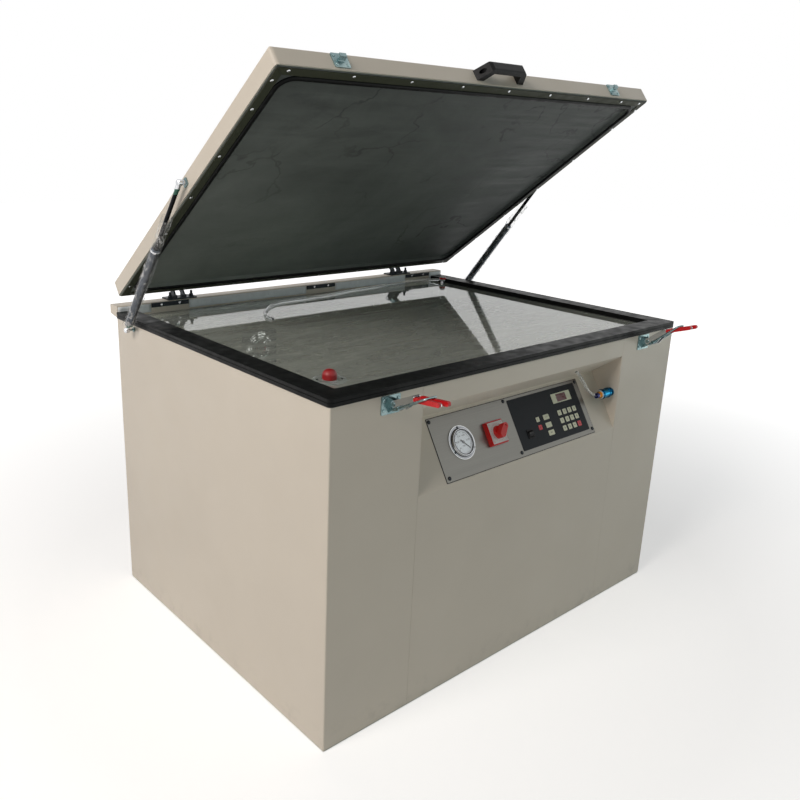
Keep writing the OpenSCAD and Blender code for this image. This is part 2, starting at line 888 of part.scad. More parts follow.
// Sliding sleeve, gripped by its two raised rims
module valve_sleeve() {
    color([0.08, 0.42, 0.60])
        valve_frame()
            translate([0, 0, valve_collar + 1])
                difference() {
                    union() {
                        cylinder(d = sleeve_d - 3, h = sleeve_l);
                        for (z = [0, sleeve_l - 5]) translate([0, 0, z]) cylinder(d = sleeve_d, h = 5);
                    }
                    translate([0, 0, -1])
                        cylinder(d = valve_core_d + 2 * fit, h = sleeve_l + 2);
                }
}

// Clear air tube, from the recess to the valve
tube_route = [[244, front_y + 42, recess_top - 30], [258, front_y + 37, recess_top - 44],
    [277, front_y + 34, recess_top - 68], [296, front_y + 32, recess_top - 90],
    [316, front_y + 29, recess_top - 106], [330, front_y + 26, recess_top - 113],
    [valve_x0 - 15, valve_y, valve_z]];
// Hose over the glass, as [from the glass's right edge, from the rail, up from its rest]
hose_plan = [[35, 66, 6.8], [49, 42, 4], [67, 16, 2], [98, 7, 0.8], [183, 9, 0], [320, 29, 0],
    [468, 44, 0], [555, 62, 0], [614, 69, 0], [683, 76, 0], [736, 78, 0], [790, 84, 0],
    [844, 111, 0], [906, 172, 0], [938, 220, 0], [950, 254, 0], [950, 278, 0]];
hose_route = [for (p = hose_plan)
    [glass_half - p[0], rail_y - p[1], glass_top + hose_up + p[2]]];

module clear_tubes() {
    color([0.85, 0.88, 0.88, 0.5]) {
        swept_tube(route(tube_route, 4), tube_d);
        swept_tube(route(hose_route, 4), tube_d);
    }
}

module panel_screws() {
    color([0.62, 0.63, 0.64]) {
        for (a = screw_at)
            on_slope([a[0], plate_s + a[1]], plate_t) {
                pan_head(7, 2.4);
                translate([0, 0, -8]) cylinder(d = screw_hole - 0.2, h = 8);
            }
        for (a = [90, 210, 330])
            on_slope(gauge_at, plate_t + 2.5)
                rotate(a)
                    translate([gauge_flange / 2 - gauge_screw_in, 0, 0])
                        pan_head(5.4, 2);
    }
}

// Latch base: plate on the front face with two lugs round the pivot pin
module latch_base() {
    base_w = 56;
    base_h = 43;
    plate_up = body_h - 2 - latch_z;
    pin_l = 2 * (link_in + link_t) + 1;
    translate([0, latch_o - 1.25, plate_up - base_h / 2])
        rotate([90, 0, 0])
            linear_extrude(2.5, center = true)
                polygon(rounded(-base_w / 2, -base_h / 2, base_w / 2, base_h / 2, 3, 3));
    for (side = [-1, 1])
        translate([side * (lug_gap + lug_t / 2), 0, 0])
            outward_x(lug_t)
                union() {
                    circle(r = 9);
                    polygon([[-latch_o + 1, plate_up - 6], [-latch_o + 1, -25], [5, -7.4],
                        [5, 7.4]]);
                }
    rod_x(latch_pin_d, pin_l + 3);
    for (side = [-1, 1]) translate([side * (pin_l / 2 + 0.8), 0, 0]) rod_x(latch_pin_d + 4, 1.6);
    for (x = [-1, 1], z = [-12, 12])
        translate([x * 21, latch_o - 2.5, plate_up - base_h / 2 + z])
            rotate([90, 0, 0])
                pan_head(8, 3);
}

module latch_bases() color([0.60, 0.65, 0.66]) for (side = [-1, 1]) at_latch(side) latch_base();

// The U-bolt's pivot on the handle, behind the handle's line so that the latch locks over centre
function trunnion_at() = trunnion_r * [cos(trunnion_lag), -sin(trunnion_lag)];

module link_tail() polygon(tapered(link_end, grip_end, 4, 3.5, 5));

module link_outline() {
    lobe = trunnion_at();
    polygon(tapered([0, 0], link_end, 8, 7));
    polygon(tapered(lobe, link_end, lobe_r, 6));
    polygon(tapered([0, 0], lobe, 8, lobe_r));
    link_tail();
}

// Latch handle: two steel links joined by a web, bored for the pivot pin and the trunnions
module latch_handle(side, rest) {
    lobe = trunnion_at();
    web = [2 * link_in + 0.2, 14, 2];
    color([0.62, 0.66, 0.68])
        at_latch(side)
            rotate([-rest, 0, 0])
                difference() {
                    union() {
                        for (x = [-1, 1]) translate([x * link_mid, 0, 0]) outward_x(link_t) link_outline();
                        translate([0, -link_end[0] + 14, link_end[1] + 3]) cube(web, center = true);
                    }
                    rod_x(latch_pin_d + 2 * fit, 60);
                    translate([0, -lobe[0], lobe[1]]) rod_x(trunnion_d + 2 * fit, 60);
                }
}

// Vinyl sleeves over the two links' tails, one a little longer than the other
module latch_grip(side, rest) {
    axis = unit(grip_end - link_end);
    color([0.80, 0.13, 0.14])
        at_latch(side)
            rotate([-rest, 0, 0])
                for (x = [-1, 1])
                    translate([x * link_mid, 0, 0])
                        difference() {
                            outward_x(8)
                                polygon(tapered(link_end + 12 * axis,
                                    grip_end + (x * 4 - 1) * axis, grip_r, grip_r));
                            outward_x(link_t) {
                                link_tail();
                                translate(link_end) circle(r = 8);
                            }
                        }
}

// U-bolt: bent wire with threaded tails, nuts and the two trunnions that it turns on
module latch_bolt(side, rest, lift) {
    lobe = trunnion_at();
    bend = 6;
    stub = bolt_half + 4 - link_in;
    color([0.70, 0.72, 0.73])
        at_latch(side)
            rotate([-rest, 0, 0])
                translate([0, -lobe[0], lobe[1]])
                    rotate([90 - (lift - rest), 0, 0]) {
                        for (x = [-1, 1]) {
                            translate([x * bolt_half, 0, -bolt_tail])
                                cylinder(d = bolt_d, h = bolt_tail + bolt_l - bend);
                            translate([x * bolt_half, 0, -bolt_tail + 3])
                                rotate(30) cylinder(d = 8, h = 4.5, $fn = 6);
                            translate([x * (bolt_half - bend), 0, bolt_l - bend])
                                rotate([90, 0, 0])
                                    mirror([x < 0 ? 1 : 0, 0, 0])
                                        rotate_extrude(angle = 90)
                                            translate([bend, 0]) circle(d = bolt_d);
                            translate([x * (link_in + stub / 2), 0, 0]) rod_x(trunnion_d, stub);
                        }
                        translate([0, 0, bolt_l]) rod_x(bolt_d, 2 * (bolt_half - bend));
                    }
}

module latch_handle_left() latch_handle(-1, latch_rest[0]);
module latch_handle_right() latch_handle(1, latch_rest[1]);
module latch_grip_left() latch_grip(-1, latch_rest[0]);
module latch_grip_right() latch_grip(1, latch_rest[1]);
module latch_bolt_left() latch_bolt(-1, latch_rest[0], bolt_rest[0]);
module latch_bolt_right() latch_bolt(1, latch_rest[1], bolt_rest[1]);

// Hinge brackets on the rear rail, each with two ears round the pin, and the dark cover plates
hinge_base_w = 96;
hinge_base_t = 4;
ear_in = 13;
ear_t = 5;
arm_gap = 0.5;
plate_xs = [-505, 75, 545];

module hinge_brackets() {
    color([0.16, 0.17, 0.18]) {
        for (side = [-1, 1]) translate([side * hinge_x, 0, 0]) hinge_bracket();
        for (x = plate_xs) translate([x * half_w / 675, 0, 0]) rail_plate();
    }
}

module hinge_bracket() {
    base_d = rail_d - 2;
    base_mid = rail_y + 2 + base_d / 2;
    translate([-hinge_base_w / 2, rail_y + 2, rail_top])
        cube([hinge_base_w, base_d, hinge_base_t]);
    for (x = [-1, 1])
        translate([x * (ear_in + ear_t / 2), 0, 0])
            difference() {
                along_x(ear_t)
                    union() {
                        polygon(tapered([hinge_y, hinge_z], [base_mid + 6, rail_top + 10], 10, 9));
                        translate([base_mid - 12, rail_top + hinge_base_t - 0.5])
                            square([rail_d / 2 + 8, 8]);
                    }
                translate([0, hinge_y, hinge_z]) rod_x(hinge_pin_d, 60);
            }
    for (x = [-1, 1])
        translate([x * (hinge_base_w / 2 - 12), rail_y + 16, rail_top + hinge_base_t]) {
            cylinder(d = 18, h = 1.5);
            translate([0, 0, 1.5]) cylinder(d = 14.4, h = 6, $fn = 6);
            cylinder(d = 8, h = 18);
        }
}

module rail_plate() {
    translate([-62, rail_y - 2.5, rail_top - 15]) cube([124, 2.5, 13]);
    for (x = [-30, 30])
        translate([x, rail_y - 2.5, rail_top - 8.5]) rotate([90, 0, 0]) pan_head(8, 3);
}

module hinge_pins() {
    color([0.72, 0.73, 0.74])
        for (side = [-1, 1])
            translate([side * hinge_x, hinge_y, hinge_z]) {
                rod_x(hinge_pin_d, 2 * (ear_in + ear_t) + 6);
                translate([-ear_in - ear_t - 4, 0, 0]) rod_x(hinge_pin_d + 5, 4);
                translate([ear_in + ear_t + 1.5, 0, 0]) rod_x(hinge_pin_d + 3, 1.5);
            }
}

module lid_hinge_arms() {
    plate_w2 = 70;
    boss_r = hinge_pin_d / 2 + 5;
    color([0.62, 0.63, 0.64])
        in_lid()
            for (side = [-1, 1])
                translate([side * hinge_x, 0, 0])
                    difference() {
                        union() {
                            translate([-plate_w2 / 2, lid_y1, lid_z + 3])
                                cube([plate_w2, 4, lid_h - 6]);
                            along_x(2 * (ear_in - arm_gap))
                                polygon(tapered([hinge_y, hinge_z], [lid_y1 + 6, hinge_z - 11],
                                    boss_r, 6));
                        }
                        translate([0, hinge_y, hinge_z]) rod_x(hinge_pin_d + 2 * fit, 80);
                        translate([-50, lid_y1 - 60, lid_z - 20]) cube([100, 60, 100]);
                    }
}

// Ball stud from the middle of its ball, reaching inwards to its hexagonal collar's seat
module ball_stud(side, reach) {
    low = asin(stud_d / ball_d);
    collar_h = 4;
    rotate([0, -side * 90, 0]) {
        rotate_extrude()
            polygon(concat(
                [for (k = [0:8]) let (a = 180 - (180 - low) * k / 8)
                    [k == 0 ? 0 : ball_d / 2 * sin(a), ball_d / 2 * cos(a)]],
                [[stud_d / 2, reach - collar_h], [0, reach - collar_h]]));
        translate([0, 0, reach - collar_h]) cylinder(d = stud_d + 8, h = collar_h, $fn = 6);
    }
}

module strut_lower_studs() {
    color([0.30, 0.31, 0.32])
        for (side = [-1, 1])
            translate([side * strut_x, strut_low[0], strut_low[1]])
                ball_stud(side, strut_off);
}

// Half-section of a ball socket as [radius, height] points, with its mouth at the bottom
function socket_section() =
    let (
        cavity = ball_d / 2 + 0.2,
        outer = socket_d / 2,
        mouth = stud_d / 2 + 1,
        half = socket_l / 2,
        low = acos(mouth / cavity)
    )
    concat(
        [[0, half + 1], [outer - 2.5, half + 1], [outer, half - 1.5], [outer, 1.5 - half],
            [outer - 1, -half], [mouth, -half]],
        [for (k = [0:8]) let (a = -low + (90 + low) * k / 8)
            [k == 8 ? 0 : cavity * cos(a), cavity * sin(a)]]);

// Ball socket across the strut, open towards the side that the stud comes from
module socket(side) rotate([0, side * 90, 0]) rotate_extrude() polygon(socket_section());

module strut_tube(side) {
    bore = strut_rod_d + 2 * fit;
    tail = strut_stroke + rod_hold + 12;
    color([0.22, 0.23, 0.24])
        on_strut(side) {
            socket(side);
            difference() {
                union() {
                    translate([0, 0, socket_d / 2 - 2])
                        cylinder(d = neck_d, h = neck_l - socket_d / 2 + 3);
                    translate([0, 0, neck_l]) cylinder(d1 = strut_d - 6, d2 = strut_d, h = 3);
                    translate([0, 0, neck_l + 3]) cylinder(d = strut_d, h = strut_tube - 6);
                    translate([0, 0, neck_l + strut_tube - 3])
                        cylinder(d1 = strut_d, d2 = strut_d - 5, h = 3);
                }
                translate([0, 0, neck_l + strut_tube - tail]) cylinder(d = bore, h = tail + 1);
            }
        }
}

// Rod with its upper socket; the upper ball stud is trapped in the socket
module strut_rod(side) {
    rod_from = neck_l + strut_tube - rod_hold;
    stud_reach = strut_x - lid_half - bracket_t - 0.3;
    color([0.10, 0.10, 0.11])
        on_strut(side) {
            translate([0, 0, rod_from])
                cylinder(d = strut_rod_d, h = strut_len - rod_from - neck_l);
            translate([0, 0, strut_len - neck_l])
                cylinder(d = neck_d + 3, h = neck_l - socket_d / 2 + 2);
            translate([0, 0, strut_len]) {
                socket(side);
                ball_stud(side, stud_reach);
            }
        }
}

module strut_tube_left() strut_tube(-1);
module strut_tube_right() strut_tube(1);
module strut_rod_left() strut_rod(-1);
module strut_rod_right() strut_rod(1);

module strut_lid_brackets() {
    color([0.62, 0.63, 0.64])
        in_lid()
            for (side = [-1, 1])
                translate([side * (lid_half + bracket_t / 2), strut_up_closed[0], strut_up_closed[1]])
                    rotate([0, 90, 0])
                        linear_extrude(bracket_t, center = true)
                            polygon(rounded(-10, -10, 10, 10, 4, 3));
}

// Lid shell: a shallow pan of sheet with rounded corners and top edges
module lid_blank(cut) {
    intersection() {
        translate([0, 0, lid_z - (cut > 0 ? 1 : 0)])
            linear_extrude(lid_h - cut + (cut > 0 ? 1 : 0))
                polygon(rounded(-lid_half + cut, lid_y0 + cut, lid_half - cut, lid_y1 - cut,
                    plan_r - cut));
        along_x(2 * lid_w)
            polygon(rounded(lid_y0 + cut, 0, lid_y1 - cut, lid_top - cut, top_r - cut));
        rotate([90, 0, 0])
            linear_extrude(4 * body_d, center = true)
                polygon(rounded(-lid_half + cut, 0, lid_half - cut, lid_top - cut, top_r - cut));
    }
}

module lid_shell() {
    color(steel)
        in_lid()
            difference() {
                lid_blank(0);
                lid_blank(sheet_t);
            }
}

// Stiffening channel round the inside of the lid
module lid_frame() {
    inner_r = plan_r - sheet_t;
    color(inside_grey)
        in_lid() {
            lid_ring(sheet_t + 0.05, frame_w, lid_z, sheet_t, inner_r, 2);
            lid_ring(sheet_t + 0.05, 2 * sheet_t, lid_z, lid_h - sheet_t - top_r, inner_r, inner_r);
            lid_ring(2 * sheet_t, frame_w, lid_top - 2 * sheet_t, sheet_t, inner_r, 2);
            lid_ring(2 * sheet_t, 3 * sheet_t, lid_z, lid_h - sheet_t, inner_r, inner_r);
        }
}

// Blanket: rim clamped under the frame, raised wall, and the sheet stretched inside it
module blanket() {
    wall_in = blanket_in - blanket_t;
    color([0.20, 0.22, 0.22])
        in_lid() {
            lid_ring(4, blanket_in, flange_z, blanket_t, 3, blanket_r);
            lid_ring(wall_in, blanket_in, flange_z, pocket_rise + 2 * blanket_t, blanket_r + 2,
                blanket_r);
            translate([0, 0, flange_z + blanket_t + pocket_rise])
                linear_extrude(blanket_t)
                    polygon(rounded(-lid_half + wall_in, lid_y0 + wall_in, lid_half - wall_in,
                        lid_y1 - wall_in, blanket_r + 2));
        }
}

module clamp_strips() {
    out_x = lid_half - strip_in;
    y0 = lid_y0 + strip_in;
    y1 = lid_y1 - strip_in;
    gap = 0.7;
    color([0.24, 0.25, 0.20])
        in_lid()
            translate([0, 0, flange_z - strip_t])
                linear_extrude(strip_t) {
                    for (s = [[y0, 1], [y1, -1]])
                        polygon([[-out_x + gap, s[0]], [out_x - gap, s[0]],
                            [out_x - strip_w - gap, s[0] + s[1] * strip_w],
                            [-out_x + strip_w + gap, s[0] + s[1] * strip_w]]);
                    for (s = [-1, 1])
                        polygon([[s * out_x, y0 + gap], [s * out_x, y1 - gap],
                            [s * (out_x - strip_w), y1 - strip_w - gap],
                            [s * (out_x - strip_w), y0 + strip_w + gap]]);
                }
}

// Sealing bead: a flat-backed ring with a rounded crest
module seal_bead() {
    crest = bead_h * 0.5;
    r = blanket_r + 12;
    color([0.16, 0.17, 0.17])
        in_lid() {
            lid_ring(bead_in, bead_in + bead_w, bead_z + crest, bead_h - crest, r, r - bead_w);
            for (k = [0:2]) {
                cut = bead_w * [0.26, 0.13, 0.05][k];
                lid_ring(bead_in + cut, bead_in + bead_w - cut, bead_z + crest * k / 3, crest / 3,
                    r - cut, r - bead_w + cut);
            }
        }
}

front_rows = [-644, -473, -302, -132, 39, 209, 381, 548, 644];
side_rows = [45, 137, 305, 474, 642, 805, 930];

module lid_screws() {
    color([0.75, 0.76, 0.77])
        in_lid()
            translate([0, 0, flange_z - strip_t])
                mirror([0, 0, 1]) {
                    for (x = front_rows, y = [lid_y0 + screw_in, lid_y1 - screw_in])
                        translate([x * lid_w / 1360, y, 0]) pan_head(8, 2);
                    for (s = side_rows, x = [-1, 1])
                        translate([x * (lid_half - screw_in), lid_y0 + s * (lid_y1 - lid_y0) / 996, 0])
                            pan_head(8, 2);
                }
}

// Lid handle: a moulded bridge with sloped legs and a screw pocket in each leg
module lid_handle() {
    grip_w = handle_w - 55;
    grip_h = 28;
    bar = 14;
    leg = 24;
    foot = handle_w / 2;
    color(black)
        in_lid()
            translate([2, lid_y0, lid_z + 23])
                difference() {
                    intersection() {
                        linear_extrude(grip_h, center = true)
                            polygon([[-foot, 0], [-grip_w / 2 - 4, -handle_reach + 5],
                                [-grip_w / 2 + 3, -handle_reach], [grip_w / 2 - 3, -handle_reach],
                                [grip_w / 2 + 4, -handle_reach + 5], [foot, 0], [foot - leg, 0],
                                [grip_w / 2 - 10, -handle_reach + bar],
                                [-grip_w / 2 + 10, -handle_reach + bar], [-foot + leg, 0]]);
                        along_x(2 * handle_w)
                            polygon(rounded(-handle_reach, -grip_h / 2, 30, grip_h / 2, 6, 4));
                    }
                    for (s = [-1, 1])
                        translate([s * (foot - leg / 2), -3, 0])
                            rotate([90, 0, 0])
                                cylinder(d = 11, h = 40);
                }
}

// Strikers: plates on the lid front, each with a hook that the U-bolt's bar drops behind
module strikers() {
    hook_w = 18;
    bar_z = latch_z - trunnion_r * cos(trunnion_lag) + bolt_l;
    bar_o = latch_o - trunnion_r * sin(trunnion_lag) - 1;
    floor_z = bar_z - bolt_d / 2 - 0.5;
    lip_o = bar_o + bolt_d / 2 + 0.8;
    color([0.62, 0.66, 0.68])
        in_lid()
            for (side = [-1, 1])
                translate([side * striker_x, lid_y0, 0]) {
                    translate([0, -1.25, lid_z + 23])
                        rotate([90, 0, 0])
                            linear_extrude(2.5, center = true)
                                polygon(rounded(-21.5, -18, 21.5, 18, 3, 3));
                    outward_x(hook_w)
                        polygon([[2, floor_z - 6], [2, floor_z], [lip_o, floor_z],
                            [lip_o, floor_z + 5], [lip_o + 2.4, floor_z + 6.5],
                            [lip_o + 2.4, floor_z - 2.4], [5, floor_z - 4.6], [4, floor_z - 6]]);
                    for (x = [-15, 15], z = [-11, 11])
                        translate([x, -2.5, lid_z + 23 + z]) rotate([90, 0, 0]) pan_head(7, 2.4);
                }
}

lamp_z = 330;
lamp_l = 220;
reflector_w = 420;
reflector_l = 520;

module lamp() {
    color([0.90, 0.92, 0.95])
        translate([0, 0, lamp_z]) {
            rod_x(20, lamp_l);
            for (s = [-1, 1]) translate([s * (lamp_l / 2 + 16), 0, 0]) rod_x(16, 34);
        }
}

// Reflector trough under the lamp, with its stand and the two lamp holders
module lamp_reflector() {
    trough = [for (a = [0:7]) [reflector_w / 2 * sin(-70 + 20 * a) / sin(70),
        lamp_z - 70 + 130 * (1 - cos(-70 + 20 * a))]];
    pan_top = angle_t + sheet_t;
    color([0.75, 0.76, 0.77]) {
        difference() {
            along_x(reflector_l) polygon(folded(trough, sheet_t, 0.2));
            translate([0, 0, lamp_z - 30]) cube([40, 40, 100], center = true);
        }
        for (s = [-1, 1])
            translate([s * (lamp_l / 2 + 16), 0, 0])
                difference() {
                    translate([-8, -14, lamp_z - 70]) cube([16, 28, 86]);
                    translate([0, 0, lamp_z]) rod_x(16, 20);
                    translate([-10, -8, lamp_z]) cube([20, 16, 40]);
                }
        for (x = [-1, 1], y = [-1, 1])
            translate([x * 200 - 10, y * 60 - 10, pan_top]) cube([20, 20, lamp_z - 70 + 14 - pan_top]);
    }
}

pump_l = 220;
pump_w = 140;
pump_d = 120;
pump_base_t = 12;

// Vacuum pump: finned motor and end bell on two saddles, with its outlet
module vacuum_pump() {
    axis = pump_base_t + 8 + pump_d / 2;
    motor_l = pump_l - 30;
    color([0.25, 0.30, 0.34])
        translate([inner_x - 243, 120, angle_t + sheet_t]) {
            translate([-pump_l / 2, -pump_w / 2, 0]) cube([pump_l, pump_w, pump_base_t]);
            for (x = [-70, 50]) translate([x - 8, -50, pump_base_t - 1]) cube([16, 100, 30]);
            translate([-20, 0, axis]) rod_x(pump_d, motor_l);
            translate([motor_l / 2 - 5, 0, axis]) rod_x(pump_w, 36);
            for (i = [-3:3]) translate([-20 + i * motor_l / 9, 0, axis]) rod_x(pump_d + 10, 4);
            translate([40, 0, axis + pump_d / 2 - 5]) cylinder(d = 24, h = 40);
        }
}

ballast_l = 180;
ballast_w = 120;
core_h = 100;

// Lamp ballast: laminated core on a base plate, with two windings and a terminal block
module ballast() {
    base_t = 4;
    core_w = ballast_w * 0.7;
    color([0.30, 0.30, 0.32])
        translate([243 - inner_x, 60, angle_t + sheet_t]) {
            translate([-ballast_l / 2, -ballast_w / 2, 0]) cube([ballast_l, ballast_w, base_t]);
            translate([-ballast_l / 2 + 20, -core_w / 2, base_t - 1])
                cube([ballast_l - 40, core_w, core_h]);
            for (s = [-1, 1])
                translate([s * 40, 0, base_t - 1 + core_h / 2])
                    cube([44, ballast_w, core_h * 0.7], center = true);
            translate([-60, -30, base_t + core_h - 2]) cube([120, 60, 12]);
        }
}

module control_box() {
    box = [280, 110, 60];
    color(inside_grey)
        on_slope([pad_at[0] + 14, pad_at[1]])
            translate([0, 0, -box[2] / 2])
                difference() {
                    cube(box, center = true);
                    translate([0, 0, 2]) cube([box[0] - 4, box[1] - 4, box[2]], center = true);
                }
}

module fan_place() translate([fan_x, inner_back, fan_z]) rotate([90, 0, 0]) children();

// Cooling fan: frame with its motor carrier, and wire guards inside and outside
module fan_frame() {
    bore = fan_w - 6;
    color(black) {
        fan_place()
            difference() {
                union() {
                    difference() {
                        linear_extrude(fan_d)
                            polygon(rounded(-fan_w / 2, -fan_w / 2, fan_w / 2, fan_w / 2, 8, 4));
                        translate([0, 0, -1]) cylinder(d = bore, h = fan_d + 2);
                    }
                    for (a = [45, 165, 285])
                        rotate(a) translate([0, -3, 0]) cube([bore / 2 + 1, 6, 4]);
                    cylinder(d = 44, h = 4);
                    cylinder(d = fan_spindle_d, h = fan_d - 6);
                }
                for (x = [-1, 1], y = [-1, 1])
                    translate([x * (fan_w / 2 - 7.5), y * (fan_w / 2 - 7.5), -1])
                        cylinder(d = 4.4, h = fan_d + 2);
            }
        fan_place() translate([0, 0, fan_d + 1]) wire_guard();
        translate([fan_x, back_face + 1, fan_z]) rotate([90, 0, 0]) wire_guard();
    }
}

module wire_guard() {
    wire = 2;
    for (r = [18:9:fan_w / 2 - 5])
        rotate_extrude($fn = 32) translate([r, 0]) square(wire, center = true);
    for (a = [45:90:315]) rotate(a) translate([10, -wire / 2, -wire / 2]) cube([fan_w / 2 + 4, wire, wire]);
    cylinder(d = 22, h = wire, center = true);
}

// Section of one blade across its span: a thin arc, pitched to the fan's axis
function blade_section(chord, camber, t, pitch) =
    let (
        r = (pow(chord / 2, 2) + pow(camber, 2)) / (2 * camber),
        half = asin(chord / 2 / r)
    )
    [for (side = [0, 1], k = [0:6])
        let (
            a = half * (side == 0 ? k / 3 - 1 : 1 - k / 3),
            arc = r + side * t
        )
        turned([arc * sin(a), arc * cos(a) - r], pitch)];

module fan_impeller() {
    tip = fan_w / 2 - 6.5;
    hub_r = 21;
    span = fan_d - 8;
    color([0.15, 0.15, 0.16])
        fan_place()
            difference() {
                union() {
                    translate([0, 0, 4.6]) cylinder(r = hub_r, h = span);
                    for (i = [0:fan_blades - 1])
                        rotate(i * 360 / fan_blades)
                            translate([hub_r - 3, 0, 4.6 + span / 2])
                                rotate([90, 0, 90])
                                    linear_extrude(tip - hub_r + 3)
                                        polygon(blade_section(span * 1.1, 2.5, 1.6, 38));
                }
                cylinder(d = fan_spindle_d + 2 * fit, h = fan_d - 5.5);
            }
}

// Vacuum port in the front corner of the glass: a clear flange under a domed red cap
module front_port() {
    wall = port_cap_h - port_cap_d * 0.35;
    dome = [for (k = [0:6]) [port_cap_d / 2 * cos(15 * k), wall + (port_cap_h - wall) * sin(15 * k)]];
    difference() {
        rotate_extrude()
            polygon(concat([[0, 0], [port_d / 2, 0], [port_d / 2, 1.5],
                [port_d / 2 - 6, 2.5], [port_cap_d / 2, 2.5]],
                [for (p = dome) [p[0] < 0.01 ? 0 : p[0], p[1]]]));
        for (a = [150, 330])
            rotate(a) translate([port_d / 2 - 11, 0, -1]) cylinder(d = 4, h = 10);
    }
}

// Hose fitting in the rear corner, with a collar and a spigot towards the hose
module rear_fitting() {
    way = hose_route[0] - [fitting_at[0], fitting_at[1], 0];
    rotate_extrude()
        polygon([[0, 0], [9, 0], [9, 7], [10, 8], [10, 13], [fitting_d / 2, 14],
            [fitting_d / 2, 20], [10, 21], [10, 25], [9, 26], [0, 26]]);
    translate([0, 0, hose_route[0][2] - glass_top])
        rotate([0, 90, atan2(way[1], way[0])])
            cylinder(d = tube_d - 1, h = norm([way[0], way[1]]) - 0.1);
}

module vacuum_ports() {
    color([0.80, 0.15, 0.15]) {
        translate([port_at[0], port_at[1], glass_top]) front_port();
        translate([fitting_at[0], fitting_at[1], glass_top]) rear_fitting();
    }
}

module cable_gland() {
    color(black)
        gland_place()
            difference() {
                union() {
                    cylinder(d = 24, h = 5, $fn = 6);
                    translate([0, 0, 5]) cylinder(d1 = 20, d2 = 16, h = 12);
                    translate([0, 0, -8]) cylinder(d = gland_d - 0.1, h = 9);
                }
                translate([0, 0, -10]) cylinder(d = 9, h = 40);
            }
}

left_side_panel();
right_side_panel();
front_panel();
back_panel();
floor_pan();
base_frame();
top_frame();
rear_rail();
table_gasket();
glass_pad();
glass();
control_plate();
control_membrane();
display_lens();
gauge_case();
gauge_dial();
gauge_lens();
gauge_needle();
switch_base();
switch_plate();
switch_knob();
rocker_frame();
rocker();
slide_valve_body();
valve_sleeve();
clear_tubes();
panel_screws();
latch_bases();
latch_handle_left();
latch_handle_right();
latch_grip_left();
latch_grip_right();
latch_bolt_left();
latch_bolt_right();
hinge_brackets();
hinge_pins();
strut_lower_studs();
strut_tube_left();
strut_tube_right();
strut_rod_left();
strut_rod_right();
lamp();
lamp_reflector();
vacuum_pump();
ballast();
fan_frame();
fan_impeller();
control_box();
vacuum_ports();
cable_gland();
lid_shell();
lid_frame();
clamp_strips();
seal_bead();
blanket();
lid_handle();
strikers();
lid_screws();
lid_hinge_arms();
strut_lid_brackets();
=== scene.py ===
import json
import math

import bmesh
import bpy
from mathutils import Matrix, Vector, noise


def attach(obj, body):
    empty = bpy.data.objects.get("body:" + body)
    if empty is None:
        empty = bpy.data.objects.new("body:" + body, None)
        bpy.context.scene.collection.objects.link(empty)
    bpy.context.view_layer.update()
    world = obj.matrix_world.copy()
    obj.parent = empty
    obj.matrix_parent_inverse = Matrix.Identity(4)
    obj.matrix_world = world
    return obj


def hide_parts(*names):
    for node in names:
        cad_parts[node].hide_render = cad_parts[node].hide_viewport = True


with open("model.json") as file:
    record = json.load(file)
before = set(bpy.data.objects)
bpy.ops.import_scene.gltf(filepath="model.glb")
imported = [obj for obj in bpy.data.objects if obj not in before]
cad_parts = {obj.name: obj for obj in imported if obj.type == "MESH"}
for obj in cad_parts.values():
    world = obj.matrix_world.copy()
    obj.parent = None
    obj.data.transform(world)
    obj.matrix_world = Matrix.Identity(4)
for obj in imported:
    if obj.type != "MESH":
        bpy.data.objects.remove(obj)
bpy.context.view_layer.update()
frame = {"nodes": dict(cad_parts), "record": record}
record = frame["record"]
MM = 0.001

# Camera of the photograph: pixels of an 800 by 800 frame, metres and degrees
PHOTO_PX = 800
SENSOR = 36.0
FOCAL_PX = 812.263
PRINCIPAL_PX = (367.77, 380.155)
EYE = (-1.65619, -1.73512, 1.38561)
AZIMUTH, ELEVATION, ROLL = -41.3199, 16.6872, 1.9268

# Control slope: its crease, its angle from upright, and the levels of what stands on it.
# Millimetres, as all lengths here that do not say metres
CREASE = Vector((0, -410, 732)) * MM
SLOPE_LEAN = math.atan2(95, 153)
SLOPE_LENGTH = math.hypot(95, 153)
PLATE_S = SLOPE_LENGTH / 2 + 2
PLATE_TOP = 1.5
PAD_TOP = 2.3
KEY_TOP = 2.7
DIAL_TOP = 5.5
GAUGE_AT = (-213, PLATE_S - 3)

# Lid, closed: half width, front and back edges, and the heights under it
LID_HALF = 680.0
LID_FRONT = -505.0
LID_BACK = 491.0
BEAD_LOW = 870.3
BEAD_HEIGHT = 6.0
FLANGE_LOW = BEAD_LOW + BEAD_HEIGHT
POCKET_RISE = 6.5
BLANKET_THICK = 2.0

GLASS_TOP = 855.0
TUBE_D = 8.0

# Metres: where one finish of a CAD solid gives way to the next
RAIL_PLATE_FACE = 0.49745
VALVE_X = 0.3524
TUBE_SOCKET_TOP, TUBE_NECK_TOP = 0.849, 0.858
ROD_NECK_LOW, ROD_NECK_TOP = 1.236, 1.25


def joint(name):
    return next(j for j in record["behaviour"]["joints"] if j["name"] == name)


LID_HINGE = Vector(joint("lid_hinge")["pos_m"])
OPEN_ANGLE = math.radians(joint("lid_hinge")["range_deg"][1])
LID = (Matrix.Translation(LID_HINGE) @ Matrix.Rotation(-OPEN_ANGLE, 4, "X")
       @ Matrix.Translation(-LID_HINGE))
SLOPE_UP = Vector((0, math.sin(SLOPE_LEAN), math.cos(SLOPE_LEAN)))
SLOPE_OUT = Vector((0, -math.cos(SLOPE_LEAN), math.sin(SLOPE_LEAN)))


